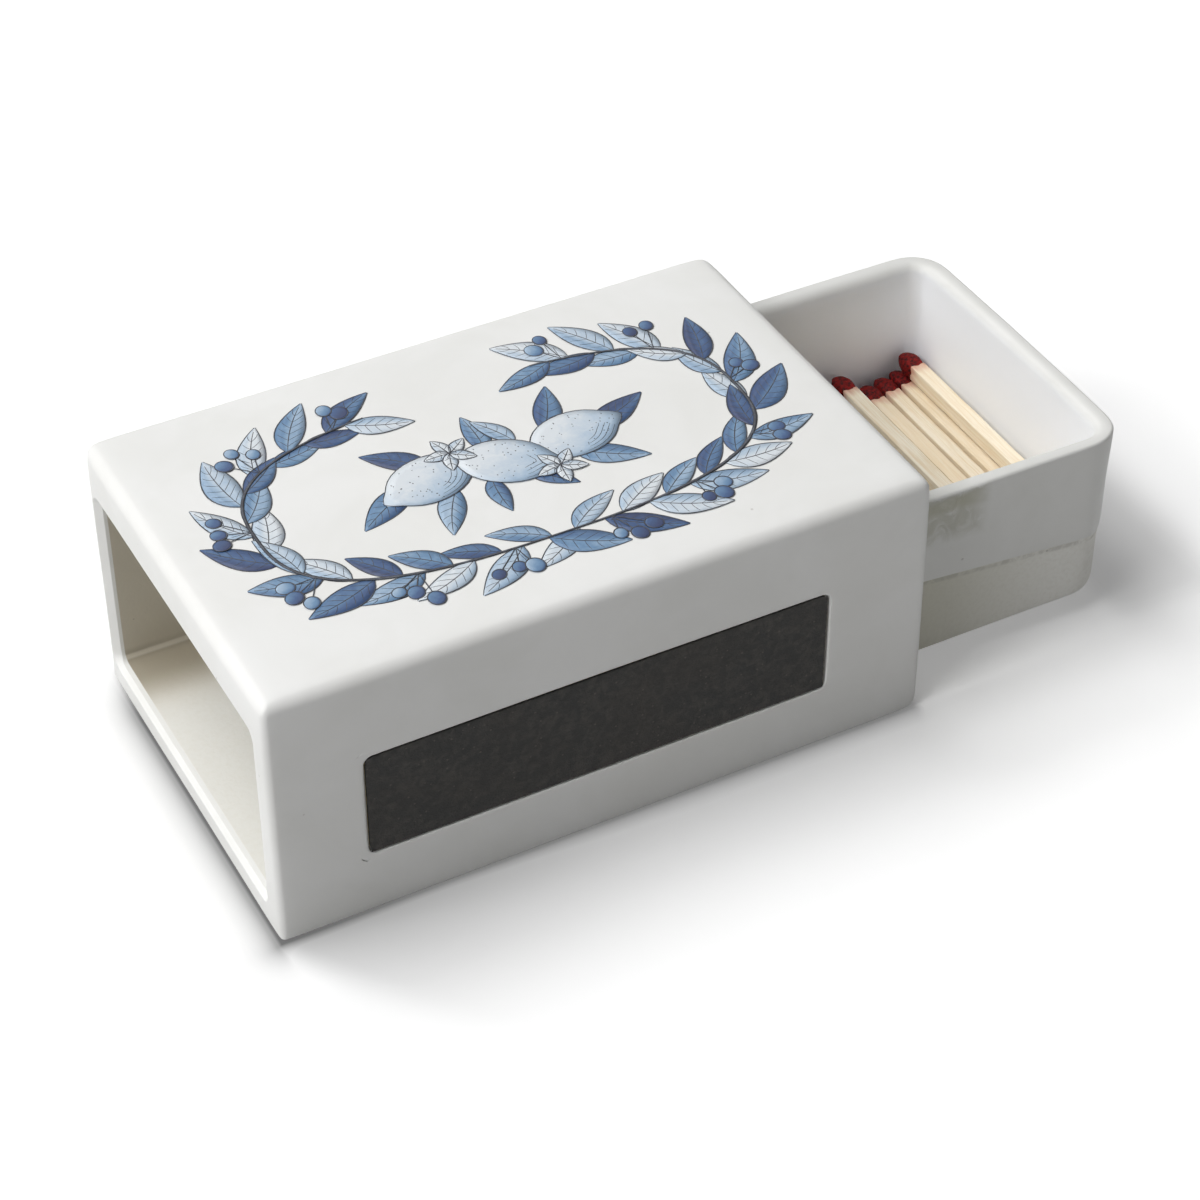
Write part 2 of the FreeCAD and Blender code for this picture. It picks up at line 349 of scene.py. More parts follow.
    def bridge(self, test: Callable[[Any], bool], cuts: int = 0) -> None:
        """Join open edges that pass a test.

        Args:
            test: says whether an open edge belongs to the join.
            cuts: rows of new points along the join.
        """
        self.pick(Pick.EDGES, lambda edge: edge.is_boundary and test(edge))
        bpy.ops.mesh.bridge_edge_loops(number_cuts=cuts, interpolation="LINEAR")

    def tidy(self) -> None:
        """Turn all faces outwards, in edit mode."""
        bpy.ops.mesh.select_all(action="SELECT")
        bpy.ops.mesh.normals_make_consistent(inside=False)

    def hand_over(self, body: Body, slot: Slot, finish: bpy.types.Material, *nodes: str) -> bpy.types.Object:
        """Dress the piece and give it to its body.

        Args:
            body: the body it rides on.
            slot: the record's finish; not used.
            finish: the material.
            *nodes: the CAD nodes that it stands for.

        Returns:
            The finished piece.
        """
        obj = self.obj
        obj.data.materials.clear()
        obj.data.materials.append(finish)
        for face in obj.data.polygons:
            face.use_smooth = True
        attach(obj, body.value)
        if nodes:
            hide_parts(*nodes)
        LOG.info("%s: %d faces on %s", obj.name, len(obj.data.polygons), body.value)
        return obj


def operation(name: str, swapped: bool = False) -> Callable[..., "Signal"]:
    """Make a method that adds a Math node.

    Args:
        name: the node's operation.
        swapped: puts the signal itself last, for an operator's right side.

    Returns:
        The method.
    """
    def apply(self: "Signal", *terms: "Signal | float") -> "Signal":
        """Work the operation out on the signal and the terms."""
        parts = (*terms, self) if swapped else (self, *terms)
        return self.shader.node("ShaderNodeMath", {"operation": name}, dict(enumerate(parts)))

    return apply


class Signal:
    """A node's output that takes part in Python sums; | and & take the larger and smaller mask."""

    def __init__(self, shader: "Shader", node: bpy.types.Node, out: int | str) -> None:
        """Hold one output of a node.

        Args:
            shader: the node's shader.
            node: the node.
            out: the output's number or name.
        """
        self.shader = shader
        self.node = node
        self.socket = node.outputs[out]

    __add__ = operation("ADD")
    __radd__ = operation("ADD", swapped=True)
    __sub__ = operation("SUBTRACT")
    __rsub__ = operation("SUBTRACT", swapped=True)
    __mul__ = operation("MULTIPLY")
    __rmul__ = operation("MULTIPLY", swapped=True)
    __or__ = operation("MAXIMUM")
    __ror__ = operation("MAXIMUM", swapped=True)
    __and__ = operation("MINIMUM")
    __rand__ = operation("MINIMUM", swapped=True)
    __abs__ = operation("ABSOLUTE")
    root = operation("SQRT")
    exp = operation("EXPONENT")

    def other(self, out: int | str) -> "Signal":
        """Give another output of the same node."""
        return Signal(self.shader, self.node, out)

    def fade(self, length: float) -> "Signal":
        """Fall from 1 at nought, by the same share over each length."""
        return (self * (-1.0 / length)).exp()

    def beyond(self, half: float, middle: float = 0.0) -> "Signal":
        """Give how far a coordinate is outside a stretch about its middle."""
        return (abs(self - middle) - half) | 0.0

    def hypot(self, term: "Signal") -> "Signal":
        """Join two distances that are square to each other."""
        return (self * self + term * term).root()

    def band(self, start: float, full: float, fall: float, end: float) -> "Signal":
        """Rise from 0 at start to 1 at full, and go back to 0 from fall to end."""
        return self.rise(start, full) & self.rise(end, fall)

    def rise(self, start: float, end: float) -> "Signal":
        """Go smoothly from 0 at start to 1 at end, or down where end is less.

        Args:
            start: value that gives 0.
            end: value that gives 1.

        Returns:
            The mask.
        """
        low, high = min(start, end), max(start, end)
        first, last = (0.0, 1.0) if end > start else (1.0, 0.0)
        return self.shader.node(
            "ShaderNodeMapRange",
            {"interpolation_type": "SMOOTHSTEP"},
            {"Value": self, "From Min": low, "From Max": high, "To Min": first, "To Max": last},
        )


class Shader:
    """The node tree of one finish."""

    surface = "Principled BSDF"

    def __init__(self, name: str) -> None:
        """Start from the nodes that come with a new finish.

        Args:
            name: the finish's name.
        """
        self.owner = self.start(name)
        self.owner.use_nodes = True
        self.tree = self.owner.node_tree

    def start(self, name: str) -> bpy.types.Material | bpy.types.World:
        """Make the material that the nodes belong to."""
        return bpy.data.materials.new(name)

    def node(
        self,
        kind: str,
        settings: dict[str, Any] | None = None,
        sockets: dict[int | str, Any] | None = None,
        out: int | str = 0,
    ) -> Signal:
        """Add a node.

        Args:
            kind: the node's type.
            settings: its settings, with a ramp's stops as "stops".
            sockets: values or links of its inputs.
            out: the output wanted.

        Returns:
            That output.
        """
        node = self.tree.nodes.new(kind)
        for name, value in (settings or {}).items():
            if name == "stops":
                self.stop(node.color_ramp, value)
            else:
                setattr(node, name, value)
        self.feed(node, sockets or {})
        return Signal(self, node, out)

    def stop(self, ramp: bpy.types.ColorRamp, stops: Sequence[tuple[float, Colour]]) -> None:
        """Set a ramp's stops.

        Args:
            ramp: the ramp.
            stops: places with their colours.
        """
        while len(ramp.elements) < len(stops):
            ramp.elements.new(1.0)
        for element, (place, colour) in zip(ramp.elements, stops):
            element.position = place
            element.color = colour

    def feed(self, node: bpy.types.Node, sockets: dict[int | str, Any]) -> None:
        """Set or link a node's inputs.

        Args:
            node: the node.
            sockets: values or links of its inputs.
        """
        for key, value in sockets.items():
            if isinstance(value, Signal):
                self.tree.links.new(value.socket, node.inputs[key])
            else:
                node.inputs[key].default_value = value

    def dress(self, **sockets: Any) -> bpy.types.Material | bpy.types.World:
        """Feed the surface's own node, with _ in a socket's name for a space.

        Args:
            **sockets: values or links.

        Returns:
            The finished material or world.
        """
        named = {key.replace("_", " "): value for key, value in sockets.items()}
        self.feed(self.tree.nodes[self.surface], named)
        return self.owner

    def place(self) -> Signal:
        """Give the piece's own coordinates."""
        return self.node("ShaderNodeTexCoord", out="Object")

    def seen(self) -> Signal:
        """Give 1 where the eye sees it, straight, mirrored or through glass, and 0 for other light."""
        ray = self.node("ShaderNodeLightPath", out="Is Camera Ray")
        return ray | ray.other("Is Glossy Ray") | ray.other("Is Transmission Ray")

    def noted(self, name: str) -> Signal:
        """Give a number that is noted on the mesh's points."""
        return self.node("ShaderNodeAttribute", {"attribute_name": name}, out="Fac")

    def split(self, vector: Signal) -> tuple[Signal, Signal, Signal]:
        """Take a vector apart."""
        first = self.node("ShaderNodeSeparateXYZ", sockets={0: vector})
        return first, first.other(1), first.other(2)

    def stretch(self, vector: Signal, along: float) -> Signal:
        """Scale coordinates along Y only, so that a pattern grows longer there."""
        scale = (1.0, along, 1.0)
        return self.node("ShaderNodeMapping", sockets={"Vector": vector, "Scale": scale})

    def noise(
        self, vector: Signal, size: float, detail: float = 2.0, rough: float = 0.5, twist: float = 0.0
    ) -> Signal:
        """Give soft noise from 0 to 1.

        Args:
            vector: the coordinates.
            size: size of one blot, in the coordinates' unit.
            detail: octaves.
            rough: weight of the finer octaves.
            twist: how far the blots are stirred.

        Returns:
            The noise.
        """
        weights = {"Detail": detail, "Roughness": rough, "Distortion": twist}
        return self.node("ShaderNodeTexNoise", sockets={"Vector": vector, "Scale": 1.0 / size, **weights})

    def mix(self, share: Signal | float, first: Any, second: Any) -> Signal:
        """Mix two colours.

        Args:
            share: share of the second.
            first: colour or link.
            second: colour or link.

        Returns:
            The mixed colour.
        """
        return self.node("ShaderNodeMix", {"data_type": "RGBA"}, {0: share, 6: first, 7: second}, out=2)

    def bump(self, height: Signal, depth: float, strength: float) -> Signal:
        """Turn heights from 0 to 1 into a bent normal.

        Args:
            height: the heights.
            depth: what a height of 1 stands for.
            strength: share of the effect.

        Returns:
            The normal.
        """
        sockets = {"Strength": strength, "Distance": depth, "Height": height}
        return self.node("ShaderNodeBump", sockets=sockets)

    def flecks(self, vector: Signal, spacing: float, radius: float, share: float) -> Signal:
        """Scatter small round flecks.

        Args:
            vector: the coordinates.
            spacing: size of the cell that one fleck is in.
            radius: the largest fleck's radius.
            share: share of the cells that have one.

        Returns:
            A mask.
        """
        cell = self.node("ShaderNodeTexVoronoi", sockets={"Vector": vector, "Scale": 1.0 / spacing})
        draw = self.split(cell.other("Color"))
        there = draw[0].rise(1.0 - share, 1.0 - share + 0.02)
        reach = radius / spacing
        return (cell - draw[1] * reach * 0.6).rise(reach, reach * 0.35) * there


class RoomShader(Shader):
    """The node tree of the room round the object."""

    surface = "Background"

    def start(self, name: str) -> bpy.types.Material | bpy.types.World:
        """Make the world that the nodes belong to."""
        return bpy.data.worlds.new(name)


@dataclass(frozen=True)
class Glaze(ABC):
    """Satin white glaze over stoneware, thin or missing where the pieces rub."""

    name: str
    earth: Colour
    # Colour of the painted shade on the bare parts.
    darkening: Colour
    fleck: Colour = tint(120, 108, 92)
    rough: float = 0.42

    def build(self) -> bpy.types.Material:
        """Make the material.

        Returns:
            The finished material.
        """
        shader = Shader(self.name)
        place = shader.place()
        spot = shader.split(place)
        blots = shader.noise(place, 16 * MM, 3.0, 0.55, 0.6)
        grit = shader.noise(place, 0.7 * MM, 2.0)
        bare = self.bare(*spot).rise(0.15, 0.85)
        bare_clay_light_and_shade = shader.mix(grit.rise(0.35, 0.8) * 0.3, self.earth, tint(224, 221, 211))
        # Painted shade darkens the bare parts here, and the hook below adds more painted light and shade.
        bare_clay_light_and_shade = shader.mix(self.painted_shade(*spot) * 0.85, bare_clay_light_and_shade, self.darkening)
        bare_clay_light_and_shade = self.paint_light_and_shade(shader, bare_clay_light_and_shade, *spot)
        colour = shader.mix(bare, self.coat(shader, place, blots), bare_clay_light_and_shade)
        colour, relief = self.mark(shader, place, blots, bare, colour)
        specks = self.specks(shader, place, bare)
        colour = shader.mix(specks, colour, self.fleck)
        peel = shader.noise(place, 2.2 * MM, 2.0, 0.4)
        wave = shader.noise(place, 22 * MM, 1.0)
        height = peel * 0.05 + wave * 0.5 + bare * grit * 0.08 - specks * 0.06 + relief
        return shader.dress(
            Base_Color=colour,
            Roughness=self.rough + blots * 0.1 + bare * 0.3,
            Normal=shader.bump(height, 1.0 * MM, 0.5),
        )

    @abstractmethod
    def coat(self, shader: Shader, place: Signal, blots: Signal) -> Signal:
        """Give the colour of the glaze itself."""

    @abstractmethod
    def bare(self, x: Signal, y: Signal, z: Signal) -> Signal:
        """Give the mask of what has little or no glaze."""

    @abstractmethod
    def painted_shade(self, x: Signal, y: Signal, z: Signal) -> Signal:
        """Give how far painted shade darkens the bare parts."""

    def paint_light_and_shade(self, shader: Shader, bare_clay_light_and_shade: Signal, x: Signal, y: Signal, z: Signal) -> Signal:
        """Paint further light and shade into the bare parts' colour, where they need it."""
        return bare_clay_light_and_shade

    def mark(
        self, shader: Shader, place: Signal, blots: Signal, bare: Signal, colour: Signal
    ) -> tuple[Signal, Signal | float]:
        """Give the colour with the piece's own marks, and their height."""
        return colour, 0.0

    def specks(self, shader: Shader, place: Signal, bare: Signal) -> Signal:
        """Give the mask of the iron specks."""
        return shader.flecks(place, 5.5 * MM, 0.22 * MM, 0.16) * 0.3


@dataclass(frozen=True)
class SleeveGlaze(Glaze):
    """The sleeve's glaze, which leaves the tunnel and the underside bare."""

    name: str = "satin_glaze_sleeve"
    earth: Colour = tint(232, 231, 225)
    # Colour of the painted shade on the far side of the tunnel.
    darkening: Colour = tint(192, 183, 164)
    tunnel_middle: float = 21.35 * MM
    tunnel_half: tuple[float, float, float] = (53.1 * MM, 30.3 * MM, 16.7 * MM)
    tunnel_fade: float = 0.4 * MM

    def coat(self, shader: Shader, place: Signal, blots: Signal) -> Signal:
        """Give the glaze's colour, clouded.

        Args:
            shader: the shader.
            place: the coordinates.
            blots: broad noise.

        Returns:
            The colour.
        """
        cloud = shader.noise(place, 48 * MM, 2.0)
        colour = shader.mix(blots.rise(0.3, 0.72), tint(244, 244, 242), tint(239, 239, 236))
        return shader.mix(cloud.rise(0.45, 0.75) * 0.5, colour, tint(238, 237, 233))

    def bare(self, x: Signal, y: Signal, z: Signal) -> Signal:
        """Give the mask of the tunnel and the underside.

        Args:
            x: the first coordinate.
            y: the second coordinate.
            z: the height.

        Returns:
            A mask.
        """
        spot = zip((x, y, z - self.tunnel_middle), self.tunnel_half)
        along, across, upright = (abs(way).rise(half + self.tunnel_fade, half) for way, half in spot)
        return (along & across & upright) | z.rise(0.5 * MM, 0.1 * MM)

    def painted_shade(self, x: Signal, y: Signal, z: Signal) -> Signal:
        """Paint shade on the far side of the tunnel."""
        return y.rise(12 * MM, 28 * MM)

    def paint_light_and_shade(self, shader: Shader, bare_clay_light_and_shade: Signal, x: Signal, y: Signal, z: Signal) -> Signal:
        """Paint shadow on the floor by the far wall, up to a painted highlight along the corner.

        Args:
            shader: the shader.
            bare_clay_light_and_shade: the bare parts' colour so far.
            x: the first coordinate; not used.
            y: the second coordinate.
            z: the height.

        Returns:
            The colour.
        """
        # Painted shadow of the far wall on the tunnel's floor.
        deep = y.rise(17 * MM, 26 * MM) & z.rise(7.0 * MM, 5.2 * MM)
        bare_clay_light_and_shade = shader.mix(deep * 0.75, bare_clay_light_and_shade, tint(146, 137, 118))
        # Painted highlight along the corner between the floor and the far wall.
        corner_highlight = z.band(4.95 * MM, 5.25 * MM, 5.5 * MM, 5.85 * MM) & y.rise(28.0 * MM, 28.6 * MM)
        return shader.mix(corner_highlight * 0.5, bare_clay_light_and_shade, tint(226, 219, 204))

    def specks(self, shader: Shader, place: Signal, bare: Signal) -> Signal:
        """Give the mask of the iron specks, with more of them on bare clay."""
        many = shader.flecks(place, 5.0 * MM, 0.22 * MM, 0.3)
        return super().specks(shader, place, bare) | (many * bare * 0.5)


@dataclass(frozen=True)
class DrawerGlaze(Glaze):
    """The drawer's glaze, painted lighter inside and darker outside, and thinnest on the foot."""

    name: str = "satin_glaze_drawer"
    earth: Colour = tint(248, 247, 241)
    # Colour of the painted shade on the foot by the sleeve.
    darkening: Colour = tint(193, 190, 170)
    middle: float = 40.8 * MM
    inside_half: tuple[float, float] = (52.2 * MM, 27.4 * MM)
    inside_fade: float = 1.0 * MM
    patch_middle: float = 59.5 * MM

    def coat(self, shader: Shader, place: Signal, blots: Signal) -> Signal:
        """Give the glaze's colour, with painted light: paler inside and darker outside.

        Args:
            shader: the shader.
            place: the coordinates.
            blots: broad noise.

        Returns:
            The colour.
        """
        x, y, z = shader.split(place)
        spot = zip((x - self.middle, y), self.inside_half)
        along, across = (abs(way).rise(half + self.inside_fade, half) for way, half in spot)
        inside = along & across & z.band(6.0 * MM, 8.0 * MM, 35.0 * MM, 36.4 * MM)
        # Painted light and shade: the outside is painted darker and the inside paler, as lit and shaded
        # copies of one glaze.
        shaded_outside = shader.mix(blots.rise(0.3, 0.72), tint(231, 231, 228), tint(225, 225, 221))
        thick = shader.mix(blots.rise(0.3, 0.72), tint(250, 252, 255), tint(247, 249, 252))
        return shader.mix(inside, shaded_outside, thick)

    def above_step(self, x: Signal, z: Signal) -> Signal:
        """Give the height, drawn level along the leaning step."""
        return z + ((x - LEAN_FROM) | -LEAN_SPAN) * LEAN

    def bare(self, x: Signal, y: Signal, z: Signal) -> Signal:
        """Give the mask of the foot.

        Args:
            x: the first coordinate.
            y: the second coordinate.
            z: the height.

        Returns:
            A mask.
        """
        outer = abs(y).rise(26.8 * MM, 27.4 * MM) | abs(x - self.middle).rise(51.5 * MM, 52.0 * MM)
        low = self.above_step(x, z).rise(19.3 * MM, 18.7 * MM)
        return (outer & low) | z.rise(6.4 * MM, 5.6 * MM)

    def painted_shade(self, x: Signal, y: Signal, z: Signal) -> Signal:
        """Paint shade on the foot, most where it leaves the sleeve."""
        return x.rise(88 * MM, 54 * MM) * (0.25 + x.rise(20 * MM, 52 * MM) * 0.55)

    def mark(
        self, shader: Shader, place: Signal, blots: Signal, bare: Signal, colour: Signal
    ) -> tuple[Signal, Signal | float]:
        """Draw the line along the step and the creased patch beside the sleeve's mouth, with painted shade
        in the patch.

        Args:
            shader: the shader.
            place: the coordinates.
            blots: broad noise.
            bare: mask of the foot.
            colour: the colour so far.

        Returns:
            The marked colour, and the height of the creases.
        """
        x, y, z = shader.split(place)
        creases = shader.noise(place, 3.4 * MM, 4.0, 0.6, 1.4)
        step = self.above_step(x, z)
        line = step.band(17.8 * MM, 18.4 * MM, 18.8 * MM, 19.1 * MM)
        line = line * bare.rise(0.1, 0.3) * creases.rise(0.3, 0.6)
        colour = shader.mix(line * 0.36, colour, tint(150, 147, 136))
        along = x + (blots - 0.5) * (9 * MM)
        upright = z + (creases - 0.5) * (3 * MM)
        wide = abs(along - self.patch_middle).rise(10.5 * MM, 6.0 * MM)
        tall = upright.band(26.5 * MM, 30.5 * MM, 35.4 * MM, 37.0 * MM)
        creased_patch = wide & tall & y.rise(-28.6 * MM, -29.0 * MM)
        # The creased patch is painted darker, partly as a stain and partly as painted shade of its dent.
        colour = shader.mix(creased_patch * creases.rise(0.2, 0.55) * 0.75, colour, tint(186, 185, 171))
        # A darker olive band along the patch's top.
        patch_top_band = creased_patch & z.rise(32.6 * MM, 34.6 * MM)
        colour = shader.mix(patch_top_band * 0.5, colour, tint(172, 170, 146))
        return colour, creased_patch * creases * 0.9


@dataclass(frozen=True)
class Grit:
    """Charcoal striking paste with a coarse grain."""

    dark: Colour = tint(44, 44, 43)
    light: Colour = tint(68, 66, 63)

    def build(self) -> bpy.types.Material:
        """Make the material.

        Returns:
            The finished material.
        """
        shader = Shader("striking_grit")
        place = shader.place()
        lumps = shader.noise(place, 1.6 * MM, 3.0, 0.6, 0.4)
        grains = shader.noise(place, 0.35 * MM, 2.0, 0.7)
        cloud = shader.noise(place, 14 * MM, 2.0)
        colour = shader.mix(lumps.rise(0.35, 0.75), self.dark, self.light)
        colour = shader.mix(cloud.rise(0.4, 0.7) * 0.35, colour, tint(56, 52, 48))
        spark = shader.flecks(place, 0.9 * MM, 0.16 * MM, 0.18)
        colour = shader.mix(spark * 0.5, colour, tint(104, 98, 92))
        return shader.dress(
            Base_Color=colour,
            Roughness=0.78 + grains * 0.2,
            Normal=shader.bump(lumps * 0.6 + grains * 0.4, 0.35 * MM, 0.8),
        )


@dataclass(frozen=True)
class Film:
    """The strip's thin amber adhesive."""

    colour: Colour = tint(196, 182, 140)

    def build(self) -> bpy.types.Material:
        """Make the material.

        Returns:
            The finished material.
        """
        shader = Shader("adhesive_film")
        cloud = shader.noise(shader.place(), 3 * MM, 3.0)
        colour = shader.mix(cloud, self.colour, tint(168, 150, 108))
        return shader.dress(Base_Color=colour, Roughness=0.3 + cloud * 0.3)


@dataclass(frozen=True)
class Aspen:
    """Pale sawn aspen, with grain along the match and stain by its head."""

    pale: Colour = tint(252, 243, 224)
    grain: Colour = tint(236, 217, 184)

    def build(self) -> bpy.types.Material:
        """Make the material.

        Returns:
            The finished material.
        """
        shader = Shader("aspen_splint")
        place = shader.place()
        fibre = shader.noise(shader.stretch(place, 0.035), 0.34 * MM, 4.0, 0.65, 0.3)
        band = shader.noise(shader.stretch(place, 0.06), 1.5 * MM, 2.0)
        tone = shader.noted("tone")
        reach = shader.noted("from_head")
        colour = shader.mix(fibre.rise(0.35, 0.75), self.pale, self.grain)
        colour = shader.mix(band.rise(0.5, 0.8) * 0.45, colour, tint(240, 220, 186))
        colour = shader.mix(tone * 0.5, colour, tint(236, 214, 178))
        wick = shader.noise(shader.stretch(place, 0.25), 0.9 * MM, 2.0)
        darkening = (reach + wick * 3.0).rise(4.4, 0.8)
        colour = shader.mix(darkening * 0.75, colour, tint(196, 116, 92))
        return shader.dress(
            Base_Color=colour,
            Roughness=0.62 + fibre * 0.25,
            Normal=shader.bump(fibre, 0.22 * MM, 0.7),
        )


@dataclass(frozen=True)
class Paste:
    """Dark red granular match paste."""

    red: Colour = tint(136, 14, 11)
    deep: Colour = tint(30, 2, 3)

    def build(self) -> bpy.types.Material:
        """Make the material.

        Returns:
            The finished material.
        """
        shader = Shader("red_paste")
        place = shader.place()
        lumps = shader.noise(place, 0.55 * MM, 3.0, 0.6)
        grains = shader.noise(place, 0.16 * MM, 2.0)
        colour = shader.mix(lumps.rise(0.3, 0.7), self.deep, self.red)
        pale = shader.flecks(place, 0.5 * MM, 0.08 * MM, 0.2)
        colour = shader.mix(pale * 0.4, colour, tint(170, 70, 60))
        return shader.dress(
            Base_Color=colour,
            Roughness=0.55 + grains * 0.35,
            Specular_IOR_Level=0.25,
            Normal=shader.bump(lumps * 0.7 + grains * 0.3, 0.16 * MM, 0.8),
        )


@dataclass(frozen=True)
class BlueWash:
    """Blue printed colour, from a pale wash to navy, by each point's tone."""

    pale: Colour = tint(224, 230, 235)
    light: Colour = tint(170, 192, 213)
    middle: Colour = tint(104, 138, 172)
    deep: Colour = tint(58, 86, 128)
    navy: Colour = tint(32, 48, 88)

    def build(self) -> bpy.types.Material:
        """Make the material.

        Returns:
            The finished material.
        """
        shader = Shader("blue_wash")
        place = shader.place()
        tone = shader.noted("tone")
        pool = shader.noise(place, 2.6 * MM, 3.0, 0.6, 0.8)
        grain = shader.noise(place, 0.5 * MM, 2.0)
        wet = tone + (pool - 0.5) * 0.26 + (grain - 0.5) * 0.08
        stops = [
            (0.0, self.pale),
            (0.28, self.light),
            (0.52, self.middle),
            (0.76, self.deep),
            (1.0, self.navy),
        ]
        colour = shader.node("ShaderNodeValToRGB", {"stops": stops}, {0: wet})
        return shader.dress(Base_Color=colour, Roughness=0.4 + pool * 0.12)


@dataclass(frozen=True)
class PrintInk:
    """Fine dark drawing lines."""

    dark: Colour = tint(48, 50, 58)
    worn: Colour = tint(98, 104, 114)

    def build(self) -> bpy.types.Material:
        """Make the material.

        Returns:
            The finished material.
        """
        shader = Shader("print_ink")
        wear = shader.noise(shader.place(), 1.8 * MM, 3.0, 0.65)
        colour = shader.mix(wear.rise(0.4, 0.8), self.dark, self.worn)
        return shader.dress(Base_Color=colour, Roughness=0.4 + wear * 0.15)


